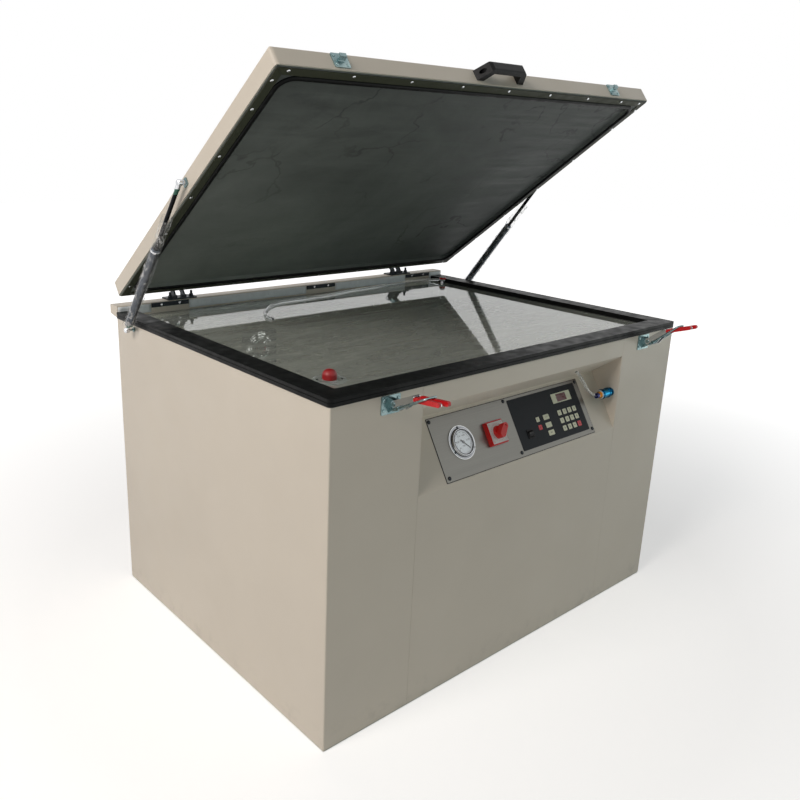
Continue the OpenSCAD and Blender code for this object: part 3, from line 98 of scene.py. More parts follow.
def on_slope(x, s, up=0.0):
    """Frame on the control slope, in metres: x across, s down from the crease, up out of it."""
    axes = Matrix((Vector((1, 0, 0)), SLOPE_UP, SLOPE_OUT)).transposed().to_4x4()
    place = CREASE + Vector((x * MM, 0, 0)) - SLOPE_UP * s * MM + SLOPE_OUT * up * MM
    return Matrix.Translation(place) @ axes


def around(place, degrees, radius, up=0.0):
    """The frame, moved from its own Z axis to that angle and radius."""
    a = math.radians(degrees)
    offset = Vector((radius * math.cos(a), radius * math.sin(a), up))
    return place @ Matrix.Translation(offset * MM)


def add_camera():
    az, el, roll = (math.radians(a) for a in (AZIMUTH, ELEVATION, ROLL))
    back = Vector((math.sin(az) * math.cos(el), -math.cos(az) * math.cos(el), math.sin(el)))
    right = Vector((0, 0, 1)).cross(back).normalized()
    up = back.cross(right)
    x = right * math.cos(roll) + up * math.sin(roll)
    y = up * math.cos(roll) - right * math.sin(roll)
    data = bpy.data.cameras.new("camera")
    data.sensor_width = SENSOR
    data.lens = FOCAL_PX / PHOTO_PX * SENSOR
    data.shift_x = 0.5 - PRINCIPAL_PX[0] / PHOTO_PX
    data.shift_y = PRINCIPAL_PX[1] / PHOTO_PX - 0.5
    data.clip_start, data.clip_end = 0.05, 60
    camera = bpy.data.objects.new("camera", data)
    bpy.context.scene.collection.objects.link(camera)
    camera.matrix_world = (Matrix.Translation(Vector(EYE))
                           @ Matrix((x, y, back)).transposed().to_4x4())
    bpy.context.scene.camera = camera


add_camera()


# Materials

def srgb(r, g, b):
    """Linear colour of an sRGB colour given from 0 to 255."""
    def linear(v):
        v /= 255
        return v / 12.92 if v <= 0.04045 else ((v + 0.055) / 1.055) ** 2.4
    return (linear(r), linear(g), linear(b), 1.0)


BEIGE = srgb(218, 209, 195)
VALVE_BLUE = srgb(8, 112, 150)
GREEN = srgb(16, 84, 66)
STRUT_GREY = srgb(64, 71, 80)
ROD_BLACK = srgb(26, 27, 29)
BRIGHT = srgb(206, 208, 211)
GLASS_TINT = (0.9, 0.95, 0.91, 1)


class Shade:
    """A Principled material under construction, textured in the row frame's metres."""

    def __init__(self, name, color, roughness=0.5, **sockets):
        self.material = bpy.data.materials.new(name)
        self.material.use_nodes = True
        self.material.diffuse_color = color
        self.tree = self.material.node_tree
        self.shader = self.tree.nodes["Principled BSDF"]
        self.set("Base Color", color)
        self.set("Roughness", roughness)
        for key, value in sockets.items():
            self.set(key.replace("_", " "), value)
        self.coords = self.node("ShaderNodeTexCoord").outputs["Object"]
        self.normal = None

    def set(self, socket, value):
        self.shader.inputs[socket].default_value = value

    def node(self, kind, inputs=None, **settings):
        made = self.tree.nodes.new(kind)
        for key, value in settings.items():
            setattr(made, key, value)
        for key, value in (inputs or {}).items():
            if isinstance(value, bpy.types.NodeSocket):
                self.tree.links.new(value, made.inputs[key])
            else:
                made.inputs[key].default_value = value
        return made

    def scaled(self, scale, turn=(0, 0, 0)):
        return self.node("ShaderNodeMapping", {"Vector": self.coords, "Scale": scale,
                                               "Rotation": turn}).outputs["Vector"]

    def noise(self, scale, detail=3, roughness=0.5, distortion=0.0, vector=None):
        return self.node("ShaderNodeTexNoise", {
            "Vector": vector or self.coords, "Scale": scale, "Detail": detail,
            "Roughness": roughness, "Distortion": distortion}).outputs["Fac"]

    def streaks(self, scale, detail, roughness, distortion, stretch, degrees):
        """Noise drawn out by the stretch and turned round Z."""
        along = self.scaled(stretch, (0, 0, math.radians(degrees)))
        return self.noise(scale, detail, roughness, distortion, along)

    def ramp(self, value, stops):
        made = self.node("ShaderNodeValToRGB", {"Fac": value})
        marks = made.color_ramp.elements
        while len(marks) < len(stops):
            marks.new(0.5)
        for mark, (place, color) in zip(marks, stops):
            mark.position = place
            mark.color = color if len(color) == 4 else (*color, 1)
        return made.outputs["Color"]

    def spread(self, value, low, high, to_low=0.0, to_high=1.0):
        return self.node("ShaderNodeMapRange", {
            "Value": value, "From Min": low, "From Max": high, "To Min": to_low,
            "To Max": to_high}).outputs["Result"]

    def mixed(self, amount, a, b, blend="MIX"):
        made = self.node("ShaderNodeMix", data_type="RGBA", blend_type=blend)
        for key, value in ((0, amount), (6, a), (7, b)):
            if isinstance(value, bpy.types.NodeSocket):
                self.tree.links.new(value, made.inputs[key])
            else:
                made.inputs[key].default_value = value
        return made.outputs[2]

    def maths(self, operation, a, b=0.0):
        return self.node("ShaderNodeMath", {0: a, 1: b}, operation=operation).outputs[0]

    def to(self, socket, value):
        self.tree.links.new(value, self.shader.inputs[socket])
        return self

    def bump(self, height, distance, strength=1.0):
        inputs = {"Height": height, "Distance": distance, "Strength": strength}
        if self.normal is not None:
            inputs["Normal"] = self.normal
        self.normal = self.node("ShaderNodeBump", inputs).outputs["Normal"]
        self.tree.links.new(self.normal, self.shader.inputs["Normal"])
        return self

    def axis(self, name):
        """The X, Y or Z of the row frame, in metres."""
        return self.node("ShaderNodeSeparateXYZ", {"Vector": self.coords}).outputs[name]

    def banded(self, value, low, high, bands):
        """Bands of colour, metal and roughness along value, each from its own start on."""
        place = self.spread(value, low, high)
        for socket, pick in (("Base Color", 1), ("Metallic", 2), ("Roughness", 3)):
            stops = []
            for band in bands:
                level = band[pick]
                stops.append(((band[0] - low) / (high - low),
                              level if pick == 1 else (level, level, level)))
            out = self.ramp(place, stops)
            out.node.color_ramp.interpolation = "CONSTANT"
            self.to(socket, out)
        return self


def tone(color, factor):
    return (color[0] * factor, color[1] * factor, color[2] * factor, 1.0)


def cloudy(shade, color, amount, scale, detail=4):
    """Base colour that wanders a little lighter and darker."""
    field = shade.noise(scale, detail)
    shade.to("Base Color", shade.ramp(field, [(0.3, tone(color, 1 - amount)),
                                              (0.7, tone(color, 1 + amount))]))
    return shade


def powder_coat(name, color, gloss=0.42):
    """Powder coat: orange peel, slow waves of the sheet, faint marks, grime near the floor."""
    grime_height, grime_depth = 0.07, 0.5
    shade = Shade(name, color, gloss)
    field = shade.noise(2.6, 5, 0.55)
    base = shade.ramp(field, [(0.3, tone(color, 0.965)), (0.7, tone(color, 1.03))])
    low = shade.spread(shade.axis("Z"), 0.0, grime_height, 1.0, 0.0)
    marks = shade.spread(shade.noise(22, 6, 0.7), 0.5, 0.75, 0.0, 1.0)
    grime = shade.maths("MULTIPLY", low, marks)
    grime = shade.maths("MULTIPLY", grime, grime_depth)
    base = shade.mixed(grime, base, tone(color, 0.55))
    shade.to("Base Color", base)
    rough = shade.noise(9, 5, 0.6)
    shade.to("Roughness", shade.spread(rough, 0.3, 0.7, gloss - 0.06, gloss + 0.08))
    shade.bump(shade.noise(3.2, 2, 0.4), 0.0016, 0.35)
    shade.bump(shade.noise(1400, 2, 0.5), 0.00006, 0.35)
    return shade.material


def flat_paint(name, color, gloss=0.55):
    shade = cloudy(Shade(name, color, gloss), color, 0.12, 7)
    shade.bump(shade.noise(260, 3), 0.0002, 0.3)
    return shade.material


def black_rubber(name, color, gloss=0.5, dusty=0.3):
    """Extruded black rubber with grey dust in its low places."""
    shade = Shade(name, color, gloss)
    shade.set("Specular IOR Level", 0.12)
    shade.set("Specular Tint", (0.7, 0.7, 0.7, 1))
    dust = shade.spread(shade.noise(14, 8, 0.7, 0.4), 0.52, 0.8, 0.0, dusty)
    shade.to("Base Color", shade.mixed(dust, color, srgb(74, 76, 74)))
    shade.to("Roughness", shade.spread(shade.noise(30, 4), 0.3, 0.7, gloss - 0.08, gloss + 0.14))
    shade.bump(shade.noise(700, 3, 0.6), 0.00012, 0.4)
    return shade.material


def blanket_rubber():
    """Rubber sheet with traces of chalk: brushed streaks, dark scuffs, painted shade along thin
    creases and painted light towards its rear left.
    """
    shade = Shade("blanket_rubber", srgb(66, 70, 68), 0.62)
    clouds = shade.noise(3.0, 9, 0.62, 0.5)
    base = shade.ramp(clouds, [(0.28, srgb(52, 57, 55)), (0.5, srgb(70, 75, 73)),
                               (0.74, srgb(92, 97, 94))])
    brushed = shade.streaks(7, 8, 0.62, 0.3, (0.5, 9.0, 9.0), 24)
    base = shade.mixed(shade.spread(brushed, 0.42, 0.75, 0.0, 0.5), base, srgb(104, 110, 106))
    scuffs = shade.streaks(3.2, 10, 0.7, 0.9, (0.8, 2.6, 2.6), -30)
    base = shade.mixed(shade.spread(scuffs, 0.56, 0.72, 0.0, 0.6), base, srgb(38, 42, 42))

    # Painted shade: thin dark lines along the creases, shown in patches.
    wander = shade.node("ShaderNodeTexNoise", {"Vector": shade.coords, "Scale": 2.6, "Detail": 5})
    bent = shade.node("ShaderNodeVectorMath", {0: shade.coords, 1: wander.outputs["Color"]},
                      operation="ADD").outputs["Vector"]
    crease = shade.node("ShaderNodeTexVoronoi", {"Vector": bent, "Scale": 2.1},
                        feature="DISTANCE_TO_EDGE").outputs["Distance"]
    crease_shade_share = shade.spread(shade.noise(5.5, 3), 0.44, 0.58, 0.0, 0.85)
    line = shade.maths("MULTIPLY", shade.spread(crease, 0.004, 0.016, 1.0, 0.0), crease_shade_share)
    base = shade.mixed(line, base, srgb(26, 29, 29))

    # Painted light: the sheet is mixed lighter towards its rear left, broken up by the clouds.
    lit_rear_left = shade.maths("MULTIPLY", shade.spread(shade.axis("Y"), -0.3, 0.42, 0.0, 0.95),
                            shade.spread(shade.axis("X"), 0.55, -0.3))
    dust = shade.maths("MULTIPLY", lit_rear_left, shade.spread(clouds, 0.25, 0.7, 0.5, 1.0))
    base = shade.mixed(dust, base, srgb(142, 148, 142))
    chalk = shade.noise(38, 9, 0.8, 1.2)
    specks = shade.maths("MULTIPLY", shade.spread(chalk, 0.62, 0.8, 0.0, 0.7),
                         shade.spread(shade.noise(3.4, 3), 0.5, 0.62))
    base = shade.mixed(specks, base, srgb(160, 166, 158))

    shade.to("Base Color", base)
    shade.to("Roughness", shade.spread(brushed, 0.3, 0.8, 0.5, 0.8))
    shade.bump(shade.noise(60, 6, 0.6), 0.0006, 0.3)
    shade.bump(scuffs, 0.003, 0.25)
    return shade.material


def table_glass():
    """Glass whose upper face carries wiped dust."""
    shade = Shade("table_glass", GLASS_TINT, 0.0, IOR=1.4)
    top = GLASS_TOP * MM
    upper = shade.spread(shade.axis("Z"), top - 0.0004, top - 0.0002)
    wiped = shade.streaks(6.5, 9, 0.7, 0.9, (0.55, 2.6, 1.0), -35)
    flecks = shade.streaks(24, 9, 0.8, 1.6, (0.7, 2.0, 1.0), 28)
    patches = shade.maths("MULTIPLY", shade.spread(shade.noise(1.7, 3, 0.5), 0.4, 0.62),
                          shade.spread(flecks, 0.5, 0.74, 0.0, 0.42))
    dust = shade.maths("ADD", shade.spread(wiped, 0.36, 0.76, 0.3, 0.54), patches)
    dust = shade.maths("MULTIPLY", dust, upper)
    shade.to("Transmission Weight", shade.maths("SUBTRACT", 1.0, dust))
    shade.to("Base Color", shade.mixed(dust, GLASS_TINT, srgb(190, 196, 180)))
    shade.to("Roughness", shade.spread(wiped, 0.45, 0.8, 0.0, 0.1))
    return shade.material


def clear_plastic(name, color, gloss=0.08, clear=0.96):
    shade = Shade(name, color, gloss, IOR=1.45)
    shade.set("Transmission Weight", clear)
    shade.to("Roughness", shade.spread(shade.noise(90, 4), 0.3, 0.8, gloss, gloss + 0.16))
    shade.bump(shade.noise(45, 3), 0.0006, 0.25)
    return shade.material


def metal(name, color, gloss, streaks=(60, 60, 60), tint=0.08, grain=0.0001, anisotropic=0.0):
    """Metal whose streaks run along the axis with the small scale."""
    shade = Shade(name, color, gloss, Metallic=1.0, Anisotropic=anisotropic)
    lines = shade.noise(1.0, 4, 0.6, 0.0, shade.scaled(streaks))
    shade.to("Base Color", shade.ramp(lines, [(0.25, tone(color, 1 - tint)),
                                              (0.75, tone(color, 1 + tint))]))
    spots = shade.noise(35, 5, 0.6)
    rough = shade.maths("ADD", shade.spread(lines, 0.2, 0.8, gloss - 0.05, gloss + 0.05),
                        shade.spread(spots, 0.5, 0.8, 0.0, 0.1))
    shade.to("Roughness", rough)
    shade.bump(lines, grain, 0.5)
    return shade.material


def moulded(name, color, gloss, amount=0.06, grain=0.00008, shine=0.5):
    shade = cloudy(Shade(name, color, gloss), color, amount, 40)
    shade.set("Specular IOR Level", shine)
    shade.to("Roughness", shade.spread(shade.noise(120, 4), 0.3, 0.7, gloss - 0.05, gloss + 0.07))
    shade.bump(shade.noise(900, 2), grain, 0.4)
    return shade.material


def plated_zinc():
    """Zinc plate: a cool tone with soft darker clouds and a fine grain."""
    shade = Shade("zinc", srgb(122, 146, 148), 0.3, Metallic=1.0)
    field = shade.noise(26, 4, 0.5)
    shade.to("Base Color", shade.ramp(field, [(0.3, srgb(92, 118, 122)),
                                              (0.7, srgb(152, 170, 170))]))
    shade.to("Roughness", shade.spread(shade.noise(200, 3), 0.3, 0.7, 0.22, 0.38))
    shade.bump(shade.noise(500, 3), 0.00006, 0.3)
    return shade.material


def valve_anodised():
    """Blue anodised body with its white ring, brass hexagon and dark-blue tube nut."""
    shade = Shade("valve_blue", VALVE_BLUE, 0.2, Metallic=1.0)
    shade.banded(shade.axis("X"), 0.32, 0.42, [
        (0.33, srgb(20, 34, 98), 0.6, 0.3), (VALVE_X - 0.01, srgb(196, 152, 84), 1.0, 0.25),
        (VALVE_X - 0.003, srgb(228, 228, 222), 0.0, 0.35),
        (VALVE_X + 0.0001, VALVE_BLUE, 1.0, 0.2)])
    shade.bump(shade.noise(1.0, 3, 0.5, 0.0, shade.scaled((700, 30, 30))), 0.0001, 0.5)
    return shade.material


def strut_metal(name, low, high, bands):
    """Painted strut with its bright ball socket and green neck."""
    shade = Shade(name, bands[0][1], 0.3)
    shade.banded(shade.axis("Z"), low, high, bands)
    shade.bump(shade.noise(300, 3), 0.00005, 0.3)
    return shade.material


def hinge_metal():
    """Dark brackets and rail plates with bright screw heads in front of the plates."""
    shade = Shade("hinge_metal", srgb(46, 49, 53), 0.38, Metallic=1.0)
    shade.banded(shade.axis("Y"), 0.48, 0.52, [
        (0.48, BRIGHT, 1.0, 0.18), (RAIL_PLATE_FACE, srgb(40, 43, 46), 1.0, 0.4)])
    shade.bump(shade.noise(260, 3), 0.0001, 0.3)
    return shade.material


def gauge_case_metal():
    """Polished case whose rings are told apart by their distance from the gauge's axis."""
    color = srgb(150, 152, 155)
    shade = Shade("gauge_case_metal", color, 0.16, Metallic=1.0)
    centre = on_slope(*GAUGE_AT).translation
    offset = shade.node("ShaderNodeVectorMath", {0: shade.coords, 1: centre},
                        operation="SUBTRACT").outputs["Vector"]
    up = shade.node("ShaderNodeVectorMath", {0: offset, 1: SLOPE_OUT},
                    operation="DOT_PRODUCT").outputs["Value"]
    full = shade.node("ShaderNodeVectorMath", {0: offset}, operation="LENGTH").outputs["Value"]
    square = shade.maths("SUBTRACT", shade.maths("MULTIPLY", full, full),
                         shade.maths("MULTIPLY", up, up))
    radius = shade.maths("SQRT", shade.maths("MAXIMUM", square, 0.0))
    # The dark band from 31.2 to 33.2 mm is a painted shadow line at the lens edge.
    bands = [(0.0, srgb(96, 98, 100), 1.0, 0.25), (0.0312, srgb(34, 36, 38), 1.0, 0.3),
             (0.0332, srgb(206, 208, 210), 1.0, 0.12), (0.0362, srgb(60, 62, 65), 1.0, 0.3),
             (0.0376, color, 1.0, 0.18), (0.0425, srgb(210, 212, 212), 1.0, 0.15)]
    shade.banded(radius, 0.0, 0.046, bands)
    return shade.material


def thin_film(name, clear_part, whiteness=0.9):
    """Wrinkled clear film: seen through between its bright folds."""
    color = (whiteness, whiteness, whiteness, 1)
    shade = Shade(name, color, 0.16)
    folds = shade.noise(46, 7, 0.65, 1.4, shade.scaled((1.6, 1.0, 0.7)))
    shade.to("Alpha", shade.spread(folds, 0.53, 0.7, 1.0 - clear_part, 0.55))
    shade.to("Roughness", shade.spread(folds, 0.3, 0.7, 0.1, 0.3))
    shade.bump(folds, 0.004, 0.8)
    return shade.material


MATERIALS = {
    "painted_beige": powder_coat("painted_beige", BEIGE),
    "inner_paint": flat_paint("inner_paint", srgb(206, 208, 194)),
    "black_rubber": black_rubber("black_rubber", srgb(17, 18, 18), 0.4),
    "blanket_rubber": blanket_rubber(),
    "table_glass": table_glass(),
    "brushed_stainless": metal("brushed_stainless", srgb(118, 117, 112), 0.34, (3, 900, 900),
                               0.1, 0.00006, 0.4),
    "keypad_film": moulded("keypad_film", srgb(25, 29, 33), 0.42, shine=0.12),
    "red_window": moulded("red_window", srgb(96, 12, 18), 0.12),
    "gauge_metal": metal("gauge_metal", srgb(205, 206, 208), 0.16),
    "dial_white": moulded("dial_white", srgb(222, 226, 230), 0.5, 0.02),
    "clear_lens": clear_plastic("clear_lens", (0.97, 0.98, 0.98, 1), 0.0, 1.0),
    "needle_black": moulded("needle_black", srgb(14, 14, 16), 0.45, shine=0.2),
    "switch_red": moulded("switch_red", srgb(206, 24, 22), 0.32),
    "switch_white": moulded("switch_white", srgb(226, 228, 226), 0.35, 0.02),
    "black_plastic": moulded("black_plastic", srgb(15, 15, 16), 0.42, shine=0.16),
    "valve_blue": valve_anodised(),
    "clear_hose": clear_plastic("clear_hose", (0.9, 0.93, 0.93, 1)),
    "zinc": plated_zinc(),
    "grip_red": moulded("grip_red", srgb(205, 28, 34), 0.3),
    "dark_plate": metal("dark_plate", srgb(52, 56, 60), 0.38),
    "lamp_glass": clear_plastic("lamp_glass", (0.94, 0.95, 0.96, 1), 0.05, 0.9),
    "bright_aluminium": metal("bright_aluminium", srgb(205, 207, 209), 0.2, (8, 300, 300)),
    "pump_paint": flat_paint("pump_paint", srgb(52, 66, 80), 0.4),
    "clamp_paint": black_rubber("clamp_paint", srgb(68, 71, 58), 0.45, 0.12),
    "chrome": metal("chrome", srgb(206, 208, 211), 0.14),
    "film": thin_film("film", 0.95),
    "gauge_case_metal": gauge_case_metal(),
    "hinge_metal": hinge_metal(),
    "strut_tube": strut_metal("strut_tube", 0.8, 0.9, [
        (0.8, BRIGHT, 1.0, 0.16), (TUBE_SOCKET_TOP, GREEN, 0.0, 0.4),
        (TUBE_NECK_TOP, STRUT_GREY, 1.0, 0.3)]),
    "strut_rod": strut_metal("strut_rod", 1.0, 1.3, [
        (1.0, ROD_BLACK, 1.0, 0.18), (ROD_NECK_LOW, GREEN, 0.0, 0.4),
        (ROD_NECK_TOP, BRIGHT, 1.0, 0.16)]),
    "cap_red": moulded("cap_red", srgb(170, 34, 38), 0.38, 0.2),
    "pale_film": moulded("pale_film", srgb(240, 245, 248), 0.3),
    "key_cream": moulded("key_cream", srgb(228, 228, 202), 0.4, 0.02),
    "key_red": moulded("key_red", srgb(216, 56, 66), 0.36),
    "ink": moulded("ink", srgb(38, 42, 40), 0.5),
    "label_ink": moulded("label_ink", srgb(22, 22, 24), 0.5),
}

# CAD nodes whose look is not the one of their record slot
NODE_LOOKS = {
    "hinge_brackets": "hinge_metal", "gauge_case": "gauge_case_metal",
    "panel_screws": "dark_plate",
    "strut_tube_left": "strut_tube", "strut_tube_right": "strut_tube",
    "strut_rod_left": "strut_rod", "strut_rod_right": "strut_rod",
    "latch_handle_left": "chrome", "latch_handle_right": "chrome",
}


def dress_nodes():
    """The materials of the record's slots, but for the nodes with a look of their own."""
    slots = {p["node"]: p["material_slot"] for p in record["subparts"]}
    for name, node in frame["nodes"].items():
        material = MATERIALS[NODE_LOOKS.get(name, slots[name])]
        if not node.material_slots:
            node.data.materials.append(material)
        for slot in node.material_slots:
            slot.material = material


dress_nodes()


# Mesh helpers. They take millimetres and give objects in metres

def piece(name, verts, faces, material, body, place=None, smooth=None):
    """Object of its own mesh, moved by place and riding on a CAD body."""
    mesh = bpy.data.meshes.new(name)
    mesh.from_pydata([Vector(v) * MM for v in verts], [], faces)
    if place is not None:
        mesh.transform(place)
    made = bmesh.new()
    made.from_mesh(mesh)
    bmesh.ops.recalc_face_normals(made, faces=made.faces)
    made.to_mesh(mesh)
    made.free()
    return finished(name, mesh, material, body, smooth)


def finished(name, mesh, material, body, smooth=None):
    obj = bpy.data.objects.new(name, mesh)
    bpy.context.scene.collection.objects.link(obj)
    mesh.materials.append(MATERIALS[material])
    if smooth is not None:
        mesh.shade_smooth()
        mesh.set_sharp_from_angle(angle=math.radians(smooth))
    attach(obj, body)
    return obj


def circle(radius, z, steps):
    turns = [2 * math.pi * k / steps for k in range(steps)]
    return [(radius * math.cos(a), radius * math.sin(a), z) for a in turns]


class Solids:
    """Vertices and faces of several closed shapes that make up one piece."""

    def __init__(self):
        self.verts, self.faces = [], []

    def add(self, verts, faces, place=None):
        start = len(self.verts)
        for v in verts:
            v = Vector(v)
            self.verts.append(place @ (v * MM) / MM if place is not None else v)
        self.faces += [tuple(i + start for i in f) for f in faces]
        return self

    def rings(self, rings, place=None, closed=False):
        """Skin over a row of rings that have the same number of points."""
        n, last = len(rings[0]), len(rings) - 1
        faces = []
        for i in range(len(rings) if closed else last):
            a, b = i * n, ((i + 1) % len(rings)) * n
            faces += [(a + k, a + (k + 1) % n, b + (k + 1) % n, b + k) for k in range(n)]
        if not closed:
            faces += [tuple(range(n)), tuple(last * n + k for k in reversed(range(n)))]
        return self.add([p for ring in rings for p in ring], faces, place)

    def revolved(self, profile, place=None, steps=48):
        """Turns [radius, height] points round Z. The first and last radius may be 0."""
        return self.rings([circle(max(r, 0.001), z, steps) for r, z in profile], place)

    def hoop(self, profile, place=None, steps=48):
        """Turns a closed profile of [radius, height] points round Z."""
        turns = [2 * math.pi * k / steps for k in range(steps)]
        return self.rings([[(r * math.cos(a), r * math.sin(a), z) for r, z in profile]
                           for a in turns], place, closed=True)

    def border(self, outer, inner, low, high, place=None):
        """Frame between two outlines that have the same number of points."""
        return self.rings([[(x, y, z) for x, y in outline] for z, outline in (
            (low, outer), (high, outer), (high, inner), (low, inner))], place, closed=True)

    def slab(self, outline, low, high, place=None, chamfer=0.0):
        """Outline drawn up from low to high, with its top edge chamfered."""
        mid = Vector((sum(p[0] for p in outline), sum(p[1] for p in outline), 0)) / len(outline)
        rings = [[(x, y, low) for x, y in outline], [(x, y, high - chamfer) for x, y in outline]]
        if chamfer:
            rings.append([inwards(p, mid, chamfer) + (high,) for p in outline])
        return self.rings(rings, place)

    def made(self, name, material, body, place=None, smooth=30, slot=None):
        return piece(name, self.verts, self.faces, material, body, place, smooth)


def inwards(p, mid, by):
    """Point p moved towards mid by about that much in each axis."""
    x, y = p[0] - mid.x, p[1] - mid.y
    return (p[0] - math.copysign(min(by, abs(x)), x), p[1] - math.copysign(min(by, abs(y)), y))


def rounded(w, h, r, steps=5):
    """Rectangle round the origin with corners of radius r."""
    points = []
    for quarter, (sx, sy) in enumerate(((1, 1), (-1, 1), (-1, -1), (1, -1))):
        for k in range(steps + 1):
            a = math.radians(90 * quarter + 90 * k / steps)
            points.append((sx * (w / 2 - r) + r * math.cos(a), sy * (h / 2 - r) + r * math.sin(a)))
    return points


def route(points, steps):
    """Smooth route through the points."""
    out = []
    for i in range(len(points) - 1):
        a, b, c, d = (Vector(points[min(max(i + k, 0), len(points) - 1)]) for k in (-1, 0, 1, 2))
        for k in range(steps):
            t = k / steps
            out.append(0.5 * (2 * b + (c - a) * t + (2 * a - 5 * b + 4 * c - d) * t ** 2
                              + (3 * b - a - 3 * c + d) * t ** 3))
    return out + [Vector(points[-1])]


def lettering(solids, text, size, place, thick=0.06):
    """Adds generic marks as thin closed letters that stand on place."""
    curve = bpy.data.curves.new("marks", "FONT")
    curve.body, curve.size, curve.extrude = text, size, thick / 2
    curve.align_x, curve.align_y = "CENTER", "CENTER"
    curve.resolution_u = 2
    holder = bpy.data.objects.new("marks", curve)
    bpy.context.scene.collection.objects.link(holder)
    graph = bpy.context.evaluated_depsgraph_get()
    mesh = bpy.data.meshes.new_from_object(holder.evaluated_get(graph))
    solids.add([v.co + Vector((0, 0, thick / 2)) for v in mesh.vertices],
               [tuple(p.vertices) for p in mesh.polygons], place)
    bpy.data.objects.remove(holder)
    bpy.data.curves.remove(curve)
    bpy.data.meshes.remove(mesh)


def tick(solids, degrees, outer, inner, wide, thick, place):
    """Adds a thin radial mark at an angle, from the outer to the inner radius."""
    a = math.radians(degrees)
    out = Vector((math.cos(a), math.sin(a), 0))
    across = Vector((-math.sin(a), math.cos(a), 0)) * wide / 2
    corners = [out * outer + across, out * outer - across, out * inner - across,
               out * inner + across]
    solids.slab([(c.x, c.y) for c in corners], 0, thick, place)


def thicken(obj, thickness, offset):
    made = obj.modifiers.new("thickness", "SOLIDIFY")
    made.thickness, made.offset = thickness * MM, offset


# Lid: blanket and bead

RIM_INSET = 4.0
POCKET_INSET = 40.0
POCKET_R = 32.0
WALL_RUN = 5.0
STILL_RIM, WAVE_RUN = 8, 60
SEAL_INSET = 33
BEAD_HALF = 6.0
BEAD_FOOT = 1.6
BEAD_LIP = 2.4
FINE_STEP = 5.0
COARSE_STEP = 13.0
RIM_ZONE = 115.0


def lines(low, high):
    """Grid lines from low to high, close together near both ends."""
    inner_low, inner_high = low + RIM_ZONE, high - RIM_ZONE
    fine = round(RIM_ZONE / FINE_STEP)
    coarse = round((inner_high - inner_low) / COARSE_STEP)
    return ([low + RIM_ZONE * k / fine for k in range(fine)]
            + [inner_low + (inner_high - inner_low) * k / coarse for k in range(coarse)]
            + [inner_high + RIM_ZONE * k / fine for k in range(fine + 1)])


def rim_distance(x, y, inset, r):
    """How far a point of the closed lid lies inside the rounded rectangle with that inset."""
    hx = LID_HALF - inset - r
    hy = (LID_BACK - LID_FRONT) / 2 - inset - r
    dx = abs(x) - hx
    dy = abs(y - (LID_BACK + LID_FRONT) / 2) - hy
    outside = math.hypot(max(dx, 0), max(dy, 0)) + min(max(dx, dy), 0)
    return r - outside


def smooth_step(v):
    v = min(max(v, 0.0), 1.0)
    return v * v * (3 - 2 * v)


def blanket_height(x, y):
    """Height of the closed lid's blanket: flat rim, wall of the pocket, then waves and creases."""
    d = rim_distance(x, y, POCKET_INSET, POCKET_R)
    level = FLANGE_LOW + (POCKET_RISE + BLANKET_THICK) * smooth_step(d / WALL_RUN + 0.2)
    free = smooth_step((d - STILL_RIM) / WAVE_RUN)
    waves = noise.noise(Vector((x, y, 0)) / 210) * 1.6 + noise.noise(Vector((x, y, 9)) / 75) * 0.7
    creases = -abs(noise.noise(Vector((x * 0.8 + y, y * 0.5 - x, 4)) / 260)) * 1.6
    return level + free * (waves + creases * 0.6 + 0.4)


def add_blanket():
    xs = lines(RIM_INSET - LID_HALF, LID_HALF - RIM_INSET)
    ys = lines(LID_FRONT + RIM_INSET, LID_BACK - RIM_INSET)
    verts = [(x, y, blanket_height(x, y)) for y in ys for x in xs]
    n = len(xs)
    faces = [(j * n + i, j * n + i + 1, (j + 1) * n + i + 1, (j + 1) * n + i)
             for j in range(len(ys) - 1) for i in range(n - 1)]
    sheet = piece("blanket_sheet", verts, faces, "blanket_rubber", "lid", LID, 60)
    low_side = LID.to_3x3() @ Vector((0, 0, -1))
    faces_down = sheet.data.polygons[0].normal.dot(low_side) > 0
    thicken(sheet, BLANKET_THICK - 0.2, -1 if faces_down else 1)
    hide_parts("blanket")


def ring_path(inset, r, steps=10):
    """Closed path round the lid at that inset, as points and their inward directions."""
    hx = LID_HALF - inset - r
    hy = (LID_BACK - LID_FRONT) / 2 - inset - r
    mid = (LID_BACK + LID_FRONT) / 2
    out = []
    for quarter, (sx, sy) in enumerate(((1, 1), (-1, 1), (-1, -1), (1, -1))):
        for k in range(steps + 1):
            a = math.radians(90 * quarter + 90 * k / steps)
            way = Vector((math.cos(a), math.sin(a), 0))
            out.append((Vector((sx * hx, mid + sy * hy, 0)) + way * r, way))
    return out


def add_bead():
    """Rounded rubber bead with a small lip at its foot."""
    crown = BEAD_HEIGHT - BEAD_LIP
    arc = [math.radians(a) for a in range(20, 161, 20)]
    profile = [(-BEAD_HALF, 0), (-BEAD_HALF, BEAD_FOOT)]
    profile += [(-BEAD_HALF * math.cos(a), BEAD_LIP + crown * math.sin(a)) for a in arc]
    profile += [(BEAD_HALF, BEAD_FOOT), (BEAD_HALF, 0)]
    solids = Solids()
    solids.rings([[p + way * u + Vector((0, 0, FLANGE_LOW - v)) for u, v in profile]
                  for p, way in ring_path(SEAL_INSET, POCKET_R + 6)], closed=True)
    bead = solids.made("sealing_bead", "black_rubber", "lid", LID, 40, "black_rubber")
    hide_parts("seal_bead")


add_blanket()
add_bead()


# Hoses

